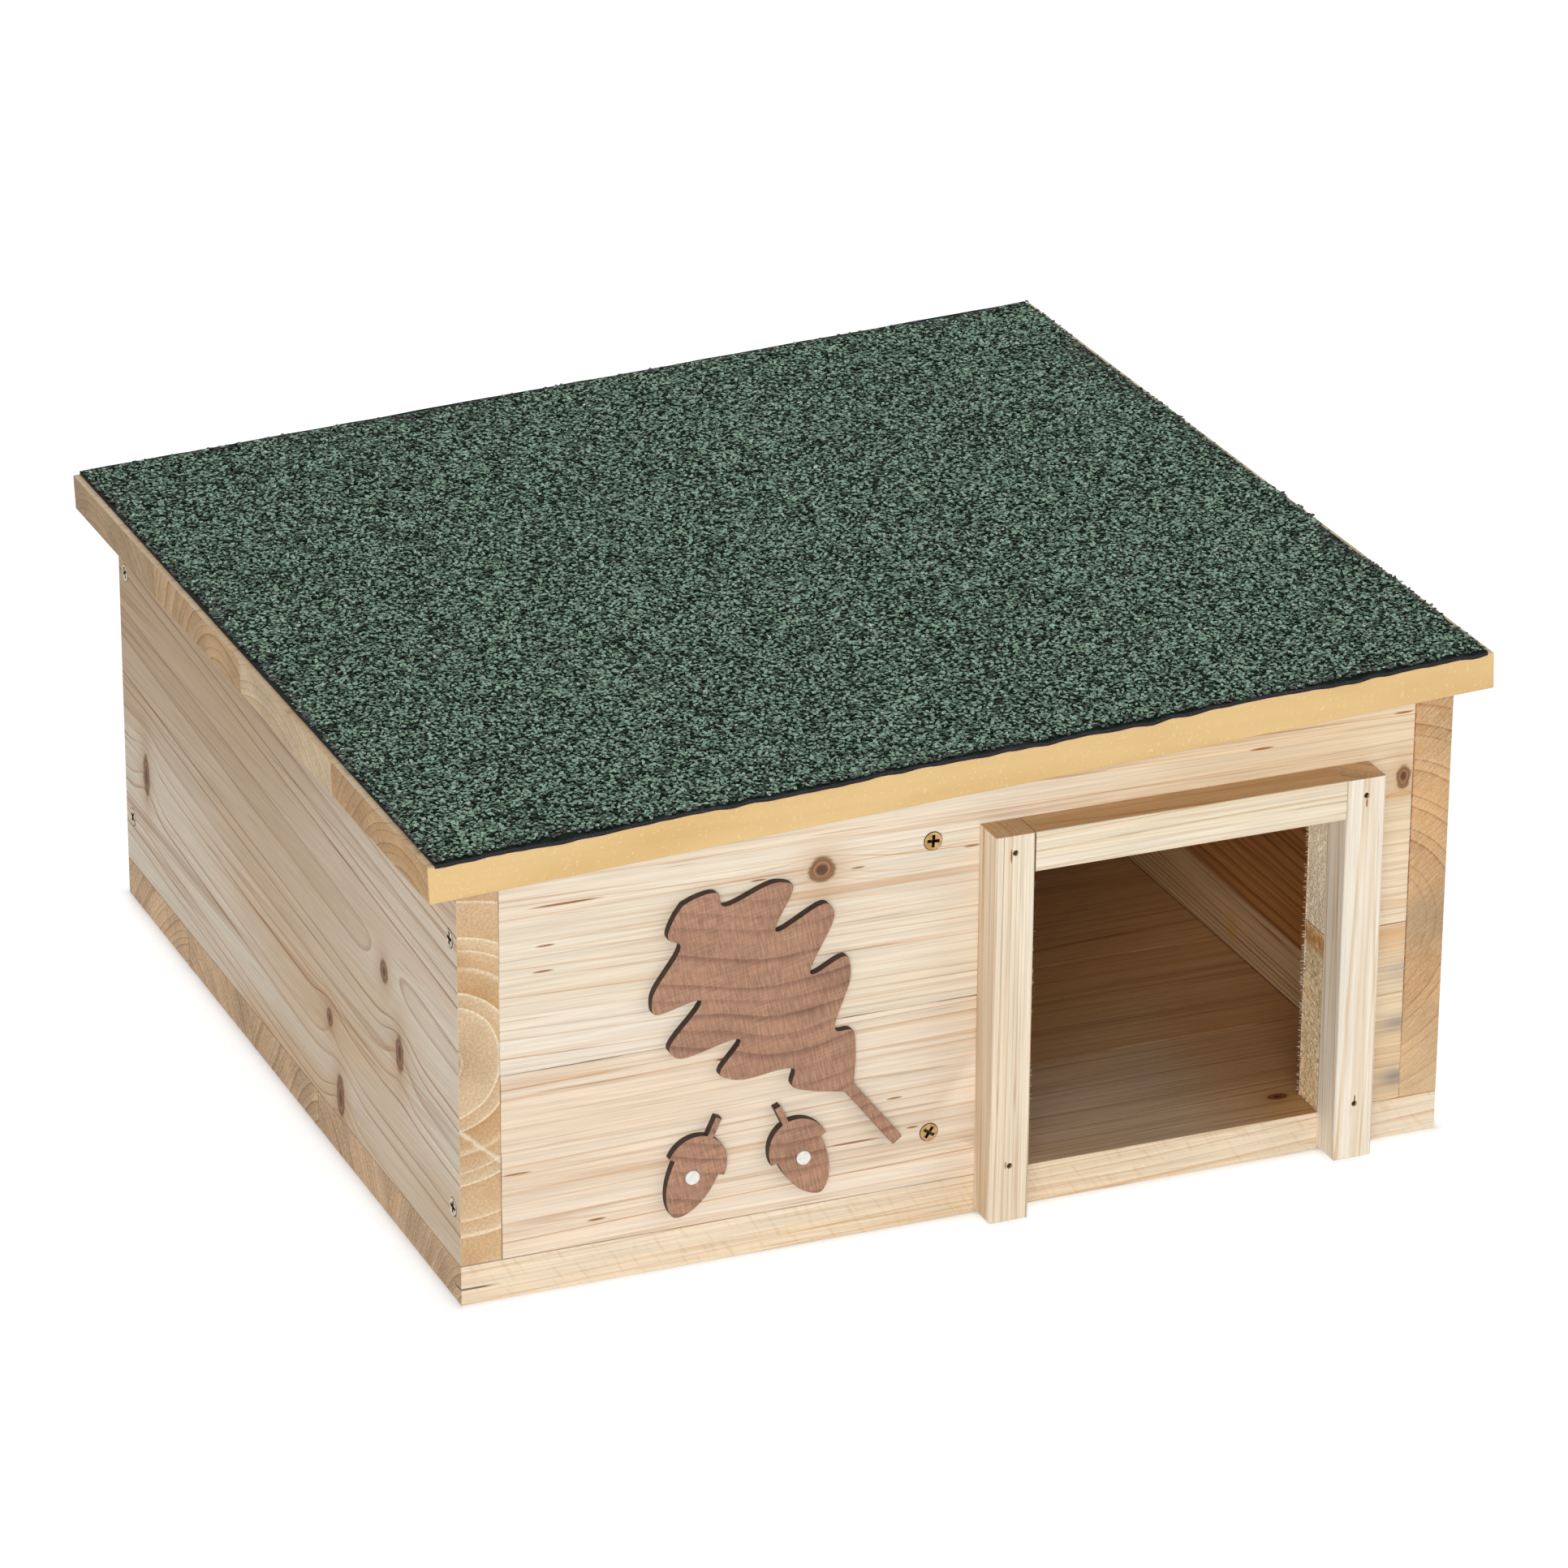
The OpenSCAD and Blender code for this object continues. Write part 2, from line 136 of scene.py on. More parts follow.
def plug(socket, value):
    """Links a socket to another one, or sets its value. A colour's value is its six hex digits."""
    if isinstance(value, Shade):
        socket.id_data.links.new(value.socket, socket)
    else:
        socket.default_value = paint(value) if isinstance(value, str) else value


def finish(name):
    """A new material, and its places in Object coordinates."""
    material = bpy.data.materials.new(name)
    material.use_nodes = True
    return material, Shade(material.node_tree.nodes.new("ShaderNodeTexCoord").outputs["Object"])


def coat(material, height, depth, **sockets):
    """Gives a material its colour and roughness, and its fine relief of a depth in metres."""
    relief = height.node("Bump", {}, {"Height": height, "Distance": depth, "Strength": 1.0})
    for name, value in {**sockets, "Normal": relief}.items():
        plug(material.node_tree.nodes["Principled BSDF"].inputs[name.replace("_", " ")], value)
    return material


def in_mm(*rows):
    """Rows of places and lengths that are written in millimetres, in metres."""
    return [tuple(value * mm for value in row) for row in rows]


joint_shade = "573C25"


def wood(name, axes, heart, lean, ring, pale, blush, line, end, seed, arc=None, wander=9 * mm, bold=0.15,
         fine=0.28, coarse=0.0, knots=(), flecks=(), seams=(), over=None):
    """Solid pine: rings about a heart line that run through the board and show on every face.

    axes names the directions along the grain, across the board's face and through it. heart is the heart
    line's place across and through, lean its slope, wander how far it strays and ring the rings' spacing.
    pale and blush are the early wood, line the late wood, bold how clear its weakest lines are and fine how
    clear the hair lines between them. end and arc are the colours of sawn ends, and coarse how torn those
    are. A knot is (along, across, half length, half height), a fleck of resin (along, across, length) and a
    seam, a dark joint line, (axis, place). over changes the finished colour."""
    material, place = finish(name)
    spot = place.node("SeparateXYZ", {}, {"Vector": place})
    along, across, through = (spot.of(axis) for axis in axes)

    def figure(per_metre_along, per_metre_across, detail=2.0):
        stretch = [per_metre_across] * 3
        stretch["XYZ".index(axes[0])] = per_metre_along
        return place.noise(stretch, [seed, seed * 0.7, seed * 1.3], detail)

    drift = figure(2.2, 7).of("Color")
    drift = drift.node("SeparateColor", {}, {"Color": drift})
    away_across = across - heart[0] - along * lean[0] + (drift.of("Red") - 0.5) * wander
    away_through = through - heart[1] - along * lean[1] + (drift.of("Green") - 0.5) * wander
    radius = away_across.span(away_through)
    nearest = None
    for knot_along, knot_across, half_length, half_height in knots:
        run = (along - knot_along) / half_length
        rise = (across - knot_across) / half_height
        reach = run.span(rise)
        swelling = ((run * run * 0.06 + rise * rise * 0.2) ** 0.5).bell()
        radius = radius + swelling * (0.9 * ring)
        nearest = reach if nearest is None else nearest.least(reach)
    turns = radius / ring
    pace = {"W": turns * 0.6 + seed, "Scale": 1.0, "Detail": 0.0}
    uneven = turns.node("TexNoise", {"noise_dimensions": "1D"}, pace)
    turns = turns + uneven * 1.5 + (figure(2, 20) - 0.5) * 0.6
    share = turns.fraction()
    chance = turns.node("TexWhiteNoise", {"noise_dimensions": "1D"}, {"W": turns.floor()})
    faded = figure(5, 90).rise(0.3, 0.65)
    rings = share.rise(0.78, 0.95) * (1 - share.rise(0.97, 1.0))
    late = rings * (chance * chance * (1 - bold) + bold) * (faded * 0.6 + 0.4)
    zone = figure(2, 26).rise(0.4, 0.62)
    vein = (1 - abs(figure(1.6, 110, 1) - 0.5).rise(0.0, 0.025)) * faded * zone
    hair = (1 - abs(figure(2.4, 250, 1) - 0.5).rise(0.0, 0.05)) * figure(6, 60).rise(0.4, 0.6)
    fibre = figure(24, 1100).rise(0.25, 0.75)
    streak = figure(3, 380)
    cloud = figure(3, 17)
    patch = place.noise([38] * 3, [seed * 0.3, seed, seed * 0.6])

    early = (cloud.rise(0.35, 0.68) * 0.7 + share * 0.3).between(pale, blush)
    early = early.scaled(chance * 0.05 + 0.97)
    colour = (late + vein * 0.6 + hair * fine + streak.rise(0.52, 0.8) * 0.1).between(early, line)
    dash = figure(22, 700, 0).rise(0.76, 0.84)
    colour = (dash * 0.35).between(colour, "9C7145")
    colour = colour.scaled(fibre * 0.19 + streak * 0.14 + 0.865)
    for fleck_along, fleck_across, length in flecks:
        half_width = min(0.02 * length, 0.2 * mm) + 0.35 * mm
        run = (along - fleck_along) / (length / 2)
        rise = (across - fleck_across + (streak - 0.5) * 0.8 * mm) / half_width
        mark = 1 - (run * run + rise * rise).rise(0.2, 1.0)
        colour = (mark * (fibre * 0.25 + 0.75)).between(colour, "965A26")
    if nearest:
        ragged = nearest + (streak - 0.5) * 0.6 + (patch - 0.5) * 0.5
        colour = ((ragged * 0.45).bell() * 0.55).between(colour, "C29462")
        flesh = (nearest * 3.0 + patch).fraction().rise(0.2, 0.9).between("A67A55", "86593B")
        colour = ((1 - ragged.rise(0.8, 1.15)) * 0.9).between(colour, flesh)
        colour = (((ragged - 0.95) * 5.0).bell() * 0.6).between(colour, "633E25")
        colour = ((1 - ragged.rise(0.25, 0.6)) * 0.85).between(colour, "513828")
    facing = place.of("Normal")
    sawn = abs(facing.node("SeparateXYZ", {}, {"Vector": facing}).of(axes[0])).rise(0.55, 0.85)
    pores = place.noise([950] * 3, [seed] * 3, 1.0).rise(0.3, 0.7)
    sawn_end = (rings * 0.4 + chance * 0.35 + share * 0.25).between(end, arc or line)
    blotch = patch.rise(0.3, 0.7) * 0.26 + cloud.rise(0.3, 0.7) * 0.18
    sawn_end = sawn_end.scaled(blotch + pores * (0.22 + 0.25 * coarse) + 0.7 - 0.13 * coarse)
    colour = sawn.between(colour, sawn_end)
    if over:
        colour = over(along, across, through, streak, patch, colour)
    for axis, joint in seams:
        gap = 1 - abs(spot.of(axis) - joint).rise(0.05 * mm, 0.45 * mm)
        colour = (gap * (patch.rise(0.4, 0.62) * 0.7 + 0.1)).between(colour, joint_shade)
    height = fibre * (1 - sawn) * 0.3 + late * 0.4 + pores * sawn * (0.6 + 1.6 * coarse)
    return coat(material, height, 0.16 * mm, Base_Color=colour, Roughness=fibre * 0.12 + 0.58,
                Specular_IOR_Level=0.25)


weld = 0.001 * mm


def copied(node):
    """A copy of a CAD node's mesh, with its loose triangles merged."""
    bm = bmesh.new()
    bm.from_mesh(frame["nodes"][node].data)
    bmesh.ops.remove_doubles(bm, verts=bm.verts, dist=weld)
    return bm


def joined(node):
    """The same with its triangles joined into flat faces."""
    flat_angle = math.radians(0.5)
    bm = copied(node)
    bmesh.ops.dissolve_limit(bm, angle_limit=flat_angle, verts=bm.verts, edges=bm.edges)
    return bm


def ease(bm, edges, arris, steps=2):
    """Rounds edges off to the width of an arris."""
    bmesh.ops.bevel(bm, geom=edges, offset=arris, offset_type="OFFSET", segments=steps, profile=0.5,
                    affect="EDGES", clamp_overlap=True, material=-1)


def planed(node, arris):
    """A CAD node's board, with its long edges eased."""
    shortest_edge = 3 * mm
    sharp_angle = math.radians(40)
    bm = joined(node)
    sharp = [e for e in bm.edges if len(e.link_faces) == 2 and e.calc_face_angle() > sharp_angle]
    ease(bm, [e for e in sharp if e.calc_length() > shortest_edge], arris)
    return bm


def settle(shape, name, body, slot, materials, *nodes):
    """Makes a finished mesh or bmesh a piece that rides on a body, and stands for the CAD nodes named."""
    mesh = shape
    if isinstance(shape, bmesh.types.BMesh):
        mesh = bpy.data.meshes.new(name)
        shape.to_mesh(mesh)
        shape.free()
    piece = bpy.data.objects.new(name, mesh)
    bpy.context.scene.collection.objects.link(piece)
    for material in materials:
        mesh.materials.append(material)
    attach(piece, body)
    if nodes:
        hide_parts(*nodes)


def fit_board(node, arris, pine, kind="pine"):
    """Planes one of the house's boards and gives it its wood."""
    settle(planed(node, arris), f"{node}_{kind}", "house", "pine", [pine], node)


def front_skin(place, front):
    """1 on a board's front face or front end, and 0 just behind it."""
    return 1 - place.rise(front + 0.1 * mm, front + 0.4 * mm)


panel_arris = 0.35 * mm
floor_boards = 5
floor_low, floor_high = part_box("floor_board_1")
floor_board_d = floor_high.y - floor_low.y
floor_top = floor_high.z
floor_joints = [("Y", floor_low.y + i * floor_board_d) for i in range(1, floor_boards)]
floor_knot = in_mm((141, -182, 3.6, 2.2))
wall_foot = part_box("right_wall")[0].x


def floor_shade_and_marks(along, across, through, streak, patch, colour):
    """The floor's upper face is darker and browner as painted shade inside the house, most at the back and
    right, away from the doorway, with a painted shadow line at the right wall's foot.

    Its front edge has slanting planer ripples and a crack at the left corner."""
    # Painted shade: the upper face, seen only inside the house, is darkened, and browned further away from
    # the doorway.
    upper = through.rise(floor_top - 0.3 * mm, floor_top - 0.05 * mm)
    colour = colour.tinted(upper, "D8CCC2")
    brown = across.rise(-170 * mm, -60 * mm).most(along.rise(90 * mm, 150 * mm))
    colour = colour.tinted(upper * brown, "FFE5BD")
    colour = (streak.rise(0.5, 0.68) * upper * 0.3).between(colour, "76553A")
    slant = along.node("CombineXYZ", {}, {"X": along + through * 0.6, "Z": through})
    ripple = slant.noise([420, 1, 110], [2, 0, 5]).rise(0.5, 0.75)
    colour = colour.tinted(ripple * front_skin(across, floor_low.y) * 0.45, "EBDAC0")
    shadow_line = 1 - abs(along - wall_foot).rise(0.1 * mm, 0.7 * mm)
    colour = (shadow_line * upper * 0.75).between(colour, joint_shade)
    left_end = 1 - along.rise(floor_low.x + 8 * mm, floor_low.x + 16 * mm)
    corner = left_end * (1 - across.rise(floor_low.y + 2 * mm, floor_low.y + 10 * mm))
    crack_height = 6.5 * mm
    crack = 1 - abs(through - crack_height + (streak - 0.5) * 2 * mm).rise(0.15 * mm, 0.6 * mm)
    return (crack * corner * 0.85).between(colour, "4A2F1C")


for i in range(1, floor_boards + 1):
    middle = floor_low.y + (i - 0.5) * floor_board_d
    pine = wood(
        f"floor_pine_{i}", "XYZ", heart=(middle + (-1) ** i * 60 * mm, -14 * mm - i * 9 * mm),
        lean=(0.02, 0.03), ring=3.6 * mm, wander=12 * mm, pale="F0E1CA", blush="E9D0AE", line="C89C68",
        end="EACAA6", arc="AE8A60", coarse=0.4, seed=3.1 * i, knots=floor_knot if i == 1 else (),
        seams=floor_joints, over=floor_shade_and_marks)
    fit_board(f"floor_board_{i}", panel_arris, pine)

# Side walls
# One wide pine board each, with its grain from front to back and its sawn ends to the front and back.
# They stand on the floor and are screwed into the ends of the front and back walls.
wall_arris = 0.3 * mm
wall_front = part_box("left_wall")[0].y
left_knots = in_mm((171, 64, 3.6, 8.5), (-120, 101, 4, 4.2), (-56, 54, 3.2, 4), (-136, 74, 3.8, 7),
                   (-67, 25, 4, 8))
right_knot = in_mm((40, 120, 6, 7))


def shaded_top(along, across, through, streak, patch, colour):
    """The left wall is darker and browner under the roof, more so towards the back, as the roof overhang's
    painted shadow.

    Its front end has brown blotches and a pale slanting scratch."""
    # Painted shadow of the roof's overhang on the wall's upper part, deeper towards the back.
    roof_overhang_shadow = along.rise(-190 * mm, 60 * mm) * across.rise(55 * mm, 125 * mm)
    colour = colour.tinted(roof_overhang_shadow, "DCCDBB")
    front_end = front_skin(along, wall_front)
    colour = (patch.rise(0.52, 0.75) * front_end * 0.4).between(colour, "A5794C")
    off_line = across - 64 * mm + (through + 192.5 * mm) * 0.92 + (streak - 0.5) * 3 * mm
    scratch = (off_line / (1.1 * mm)).bell()
    return (scratch * front_end * 0.7).between(colour, "F3E6CC")


def inner_heartwood_and_shade(along, across, through, streak, patch, colour):
    """The right wall's inner face is darker and browner as painted shade inside the house, with redder
    heartwood above a pale strip along the floor, and a stain.

    Its front end keeps slanting saw marks and a dull patch, and is paler below."""
    inside = 1 - through.rise(wall_foot + 0.05 * mm, wall_foot + 0.6 * mm)
    height = across + (streak - 0.5) * 1.5 * mm - along * 0.01
    redder = height.rise(40 * mm, 44 * mm)
    # Painted shade: the whole inner face is darkened and warmed, as the inside of the house lies in shade.
    colour = colour.tinted(inside, "EBDCC4")
    colour = colour.tinted(inside * redder, "E1BA90")
    for spacing, share in ((2.2 * mm, 1 - height.rise(26 * mm, 32 * mm)), (5.6 * mm, redder)):
        stripe = (height / spacing + patch * 0.25).fraction()
        stripe = stripe.rise(0.5, 0.9) * (1 - stripe.rise(0.92, 1.0)) * inside * share
        colour = (stripe * (streak * 1.3)).between(colour, "74481F")
    run = (along + 52 * mm) / (5 * mm)
    rise = (height - 26 * mm) / (6 * mm)
    stain = run.span(rise).bell() * inside * (patch * 1.4)
    colour = stain.between(colour, "C89A3C")
    front_end = front_skin(along, wall_front)
    slant = along.node("CombineXYZ", {}, {"X": across + through * 1.2, "Y": through - across * 1.2})
    teeth = slant.noise([90, 1000, 1], [6, 2, 0]).rise(0.4, 0.72)
    colour = (teeth * front_end * 0.4).between(colour, "EAD6B8")
    dull = ((across - 90 * mm + (patch - 0.5) * 20 * mm) / (12 * mm)).bell()
    colour = (dull * front_end * 0.45).between(colour, "A8957C")
    low = 1 - across.rise(18 * mm, 70 * mm)
    return (low * front_end * 0.4).between(colour, "F2D6AE")


left_pine = wood(
    "left_wall_pine", "YZX", heart=(110.6 * mm, -206 * mm), lean=(0.06, 0.0), ring=8.8 * mm, pale="F6EAD8",
    blush="DFBE97", line="A1703F", end="C09666", arc="ECDBBE", bold=0.4, fine=0.08, seed=21,
    knots=left_knots, seams=[("Z", floor_top)], over=shaded_top)
right_pine = wood(
    "right_wall_pine", "YZX", heart=(95 * mm, 165 * mm), lean=(0.03, 0.01), ring=6.6 * mm, wander=16 * mm,
    pale="EBD6B8", blush="DDB890", line="A67C52", end="D6AD7C", arc="A27242", bold=0.35, seed=33,
    knots=right_knot, seams=[("Z", floor_top)], over=inner_heartwood_and_shade)
fit_board("left_wall", wall_arris, left_pine)
fit_board("right_wall", wall_arris, right_pine)

# Front wall
# Two pine boards glued edge to edge, with the grain from left to right and the doorway sawn out afterwards.
# The saw left the doorway's end grain rough, with torn fibres along its edges.


def saw_face(bm, place, into):
    """Breaks up the flat face at a place on X into the ragged surface that a saw leaves."""
    step, rough, tear = 0.9 * mm, 0.55 * mm, 1.2 * mm

    def sawn_faces():
        return {f for f in bm.faces
                if abs(f.normal.x) > 0.99 and abs(f.calc_center_median().x - place) < tear}

    for _ in range(2):
        edges = {e for f in sawn_faces() for e in f.edges}
        longest = max(e.calc_length() for e in edges)
        chosen = [e for e in edges if e.calc_length() > longest * 0.9]
        bmesh.ops.subdivide_edges(bm, edges=chosen, cuts=int(longest / step), use_grid_fill=True)
    found = sawn_faces()
    for vert in {v for f in found for v in f.verts}:
        grain = noise.noise(Vector((vert.co.x * 900, vert.co.y * 500, vert.co.z * 900)))
        kerf = noise.noise(Vector((vert.co.y * 160, vert.co.z * 420 + vert.co.y * 300, 7.0)))
        rim = any(f not in found for f in vert.link_faces)
        depth = rough * (0.5 + 0.6 * grain + 0.4 * kerf) + (tear * max(0.0, grain) if rim else 0.0)
        vert.co.x += into * max(0.0, depth)


front_low, front_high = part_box("front_wall_upper")
door_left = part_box("front_wall_lower_left")[1].x
door_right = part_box("front_wall_lower_right")[0].x
front_joints = [("Z", front_low.z), ("X", front_low.x), ("X", front_high.x), ("Z", floor_top)]
front_knots = in_mm((-58, 152, 4.8, 4.6), (180, 151, 2.8, 4.2))
front_flecks = in_mm((-158, 155.3, 34), (-83, 151.7, 8), (-43.6, 150.3, 7), (-167, 129.7, 10),
                     (-166, 139.7, 9), (2, 151.6, 8), (120, 172, 12), (-100, 118, 11), (179, 177.5, 10))
low_flecks = in_mm((-27.8, 53.8, 8), (-44.5, 38.4, 27), (-146.8, 25.8, 9), (-20.4, 40.3, 6),
                   (-178, 50, 14), (-96, 82, 9))
sap_along = 182 * mm
sap_stains = [(25 * mm, 1.2), (70 * mm, 0.5), (48 * mm, 0.7)]


def stained(along, across, through, streak, patch, colour):
    """The short board right of the doorway has blue-grey sap stain, and resin below its glue joint.

    The saw left dark slanting pits in its end grain."""
    slant = along.node("CombineXYZ", {}, {"Y": through + across * 0.46, "Z": across - through * 0.46})
    pits = slant.noise([1, 240, 1000], [3, 4, 5])
    reveal = 1 - along.rise(door_right + 0.6 * mm, door_right + 1.2 * mm)
    colour = (pits.rise(0.5, 0.68) * reveal * 0.65).between(colour, "7A5A38")
    resin = ((across - front_low.z + 5 * mm) / (3.5 * mm)).bell() * reveal
    colour = (resin * (pits * 0.8 + 0.3)).between(colour, "A8682E")
    band = ((across - front_low.z + 6 * mm + (streak - 0.5) * 6 * mm) / (4 * mm)).bell()
    colour = (band * 0.5).between(colour, "D09A58")
    for sap_height, depth in sap_stains:
        run = (along - sap_along) / (8 * mm)
        rise = (across - sap_height) / (4 * mm)
        mark = run.span(rise).bell() * (streak + 0.2) * depth
        colour = mark.between(colour, "7F7B79")
    return colour


def warmed(along, across, through, streak, patch, colour):
    """The upper board is a little yellower towards the right."""
    return colour.tinted(along.rise(0 * mm, 110 * mm), "FEF7EA")


low_board = {"axes": "XZY", "heart": (-70 * mm, -170 * mm), "lean": (0.03, 0.02), "ring": 5.2 * mm,
             "seed": 52, "seams": front_joints}
upper_pine = wood(
    "front_upper_pine", "XZY", heart=(262 * mm, -165 * mm), lean=(-0.03, 0.02), ring=4.6 * mm, bold=0.25,
    pale="F0E5D4", blush="EADAC2", line="C8955E", end="FFF8EA", arc="F6E8D2", coarse=0.35, seed=41,
    knots=front_knots, flecks=front_flecks, seams=front_joints, over=warmed)
lower_pine = wood("front_lower_pine", pale="F0E1CE", blush="E8CFB1", line="C4905A", end="D5B993", bold=0.25,
                  flecks=low_flecks, **low_board)
stained_pine = wood("front_stained_pine", pale="ECD8BA", blush="E0C298", line="BF8F5C", end="FFEDC4",
                    arc="FFD096", coarse=0.2, over=stained, **low_board)
for part, pine in (("upper", upper_pine), ("lower_left", lower_pine), ("lower_right", stained_pine)):
    board = planed(f"front_wall_{part}", wall_arris)
    if part != "lower_right":
        saw_face(board, door_left, -1)
    if part != "lower_left":
        saw_face(board, door_right, 1)
    settle(board, f"front_wall_{part}_pine", "house", "pine", [pine], f"front_wall_{part}")

# Back wall and inner wall
# Both are glued from two boards as the front wall is. The inner wall runs back from beside the doorway
# and stops short of the back wall. The back wall's top is notched for the hinges.
back_knots = in_mm((-90, 60, 6, 5), (70, 130, 4, 5))
back_flecks = in_mm((20, 48, 16), (-120, 140, 10), (130, 70, 9))
for part, heart_height, seed in (("lower", -30 * mm, 61), ("upper", 205 * mm, 67)):
    pine = wood(
        f"back_{part}_pine", "XZY", heart=(heart_height, 170 * mm), lean=(0.02, -0.02), ring=4.6 * mm,
        pale="EFDEC4", blush="DFBF93", line="C39B70", end="D0AD7F", seed=seed, knots=back_knots,
        flecks=back_flecks, seams=front_joints)
    fit_board(f"back_wall_{part}", wall_arris, pine)
    pine = wood(
        f"partition_{part}_pine", "YZX", heart=(heart_height, -40 * mm), lean=(0.03, 0.02), ring=4.8 * mm,
        pale="EBD7B9", blush="D9B88C", line="BC9468", end="CFAE82", seed=seed + 9)
    fit_board(f"partition_{part}", wall_arris, pine)

# Door frame
# Two uprights and a lintel, planed pine battens with close straight grain and lightly broken edges.
# Brads through the uprights hold the frame, and splinters stand out where the battens were cut.
batten_arris = 0.3 * mm
jamb_low, jamb_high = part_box("left_jamb")
jamb_cut = {"axes": "ZXY", "wander": 5 * mm, "end": "C6A57E", "arc": "A6835C"}
left_jamb_flecks = in_mm((25.5, 11.2, 4), (152, 11.2, 7))
right_jamb_flecks = in_mm((27, 157, 4), (150, 157, 5))


def lintel_top_shade(along, across, through, streak, patch, colour):
    """The lintel's upper face is darker, browner and mottled: painted shade under the roof's overhang."""
    top = across.rise(jamb_high.z - 0.35 * mm, jamb_high.z - 0.1 * mm)
    # Painted shade on the lintel's upper face, where the roof's overhang keeps light off.
    return colour.tinted(top * (patch * 0.5 + streak * 0.5 + 0.5), "CBAD8A")


left_batten = wood(
    "left_jamb_pine", heart=(-32 * mm, -208 * mm), lean=(0.01, 0.01), ring=3.0 * mm, pale="F3E7D4",
    blush="EAD7BA", line="B4854F", bold=0.35, seed=71, flecks=left_jamb_flecks, **jamb_cut)
right_batten = wood(
    "right_jamb_pine", heart=(205 * mm, -150 * mm), lean=(0.02, 0.01), ring=5.5 * mm, pale="F8F1E5",
    blush="F3E6D2", line="D2AF7E", seed=77, flecks=right_jamb_flecks, **jamb_cut)
lintel_batten = wood(
    "lintel_pine", "XZY", heart=(80 * mm, -190 * mm), lean=(0.02, 0.02), ring=4.4 * mm, pale="F2E7D4",
    blush="EAD9BC", line="CFAB78", end="C6A57A", seed=83, seams=[("X", door_left), ("X", door_right)],
    over=lintel_top_shade)
for node, pine in (("left_jamb", left_batten), ("right_jamb", right_batten), ("lintel", lintel_batten)):
    fit_board(node, batten_arris, pine, "batten")

draw = random.Random(5)


def splinter(bm, root, direction, lengths, half_widths):
    """A fine torn fibre, thick at its root, with its size drawn from two ranges in millimetres."""
    sunk = 0.2 * mm
    length = draw.uniform(*lengths) * mm
    half_width = draw.uniform(*half_widths) * mm
    turn = Vector(direction).to_track_quat("Z", "Y").to_matrix().to_4x4()
    middle = Matrix.Translation(Vector((0, 0, length / 2 - sunk)))
    bmesh.ops.create_cone(bm, cap_ends=True, segments=4, radius1=half_width, radius2=half_width * 0.15,
                          depth=length, matrix=Matrix.Translation(Vector(root)) @ turn @ middle)


torn = bmesh.new()
root_depth = 0.1 * mm
door_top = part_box("lintel")[0].z
wall_fibres, jamb_fibres, lintel_fibres = 260, 70, 60
for _ in range(wall_fibres):
    height = draw.uniform(floor_top + 2 * mm, door_top - 2 * mm)
    spread = draw.uniform(-0.5, 0.5)
    splinter(torn, (door_right + root_depth, front_high.y - draw.uniform(0, 0.5) * mm, height),
             (-1.0, draw.uniform(-0.2, 0.9), spread), (0.5, 2.0), (0.08, 0.2))
for _ in range(jamb_fibres):
    height = draw.uniform(floor_top + 4 * mm, jamb_high.z - 4 * mm)
    splinter(torn, (jamb_high.x - root_depth, jamb_low.y + draw.uniform(0.25, 0.7) * mm, height),
             (0.8, draw.uniform(0.0, 0.4), draw.uniform(-1.6, 1.6)), (0.5, 1.5), (0.05, 0.12))
for _ in range(lintel_fibres):
    side = draw.uniform(door_left, door_right)
    splinter(torn, (side, jamb_low.y + draw.uniform(1, 15) * mm, jamb_high.z - root_depth),
             (draw.uniform(-1.5, 1.5), -0.3, draw.uniform(0.2, 0.7)), (0.4, 1.1), (0.04, 0.1))
settle(torn, "torn_fibres", "house", "pine", [lintel_batten])

# Plaque
# An oak leaf and two acorns, cut by a hot beam from thin brown wood and glued to the front wall. The cut
# charred the edges, and the sanded face keeps fine cross scratches. A white dot is let into each acorn.


def brown_wood(name):
    """Brown wood with broad arched grain and two runs of sanding scratches."""
    leaf_middle, arch = -76 * mm, 22 * mm
    material, place = finish(name)
    spot = place.node("SeparateXYZ", {}, {"Vector": place})
    side, up = spot.of("X"), spot.of("Z")
    warp = place.noise([11, 9, 16], [2, 5, 1])
    aside = side - leaf_middle
    bend = (aside * aside + arch ** 2) ** 0.5
    turns = (up - bend * 0.3 + warp * 20 * mm) / (6.2 * mm)
    share = turns.fraction()
    chance = turns.node("TexWhiteNoise", {"noise_dimensions": "1D"}, {"W": turns.floor()})
    band = share.rise(0.5, 0.9) * (1 - share.rise(0.92, 1.0)) * (chance * 0.85 + 0.15)
    turned_place = spot.node("CombineXYZ", {}, {"X": side + up * 0.22, "Z": up - side * 0.22})
    steep = turned_place.noise([1350, 1, 150], [4, 0, 2]).rise(0.3, 0.7)
    level = turned_place.noise([60, 1, 1500], [9, 0, 6]).rise(0.3, 0.7)
    cloud = place.noise([40, 40, 60], [1, 7, 3])
    colour = (band * 0.6 + cloud.rise(0.35, 0.75) * 0.35).between("AF856A", "785240")
    colour = colour.scaled(steep * 0.42 + level * 0.24 + 0.66)
    return coat(material, steep + level * 0.6, 0.07 * mm, Base_Color=colour, Roughness=steep * 0.15 + 0.5)


def charred(name):
    """The sooty edge that the hot beam left."""
    material, place = finish(name)
    soot = place.noise([300, 90, 300], [3, 1, 2])
    colour = soot.rise(0.3, 0.8).between("2E2019", "4A3327")
    return coat(material, soot, 0.15 * mm, Base_Color=colour, Roughness=soot * 0.2 + 0.65)


def white_paint(name):
    """White paint with a faint speckle."""
    material, place = finish(name)
    speck = place.noise([500] * 3, [1, 2, 3])
    colour = speck.rise(0.3, 0.8).between("F4F3EF", "E2E0DA")
    return coat(material, speck, 0.05 * mm, Base_Color=colour, Roughness=speck * 0.2 + 0.4)


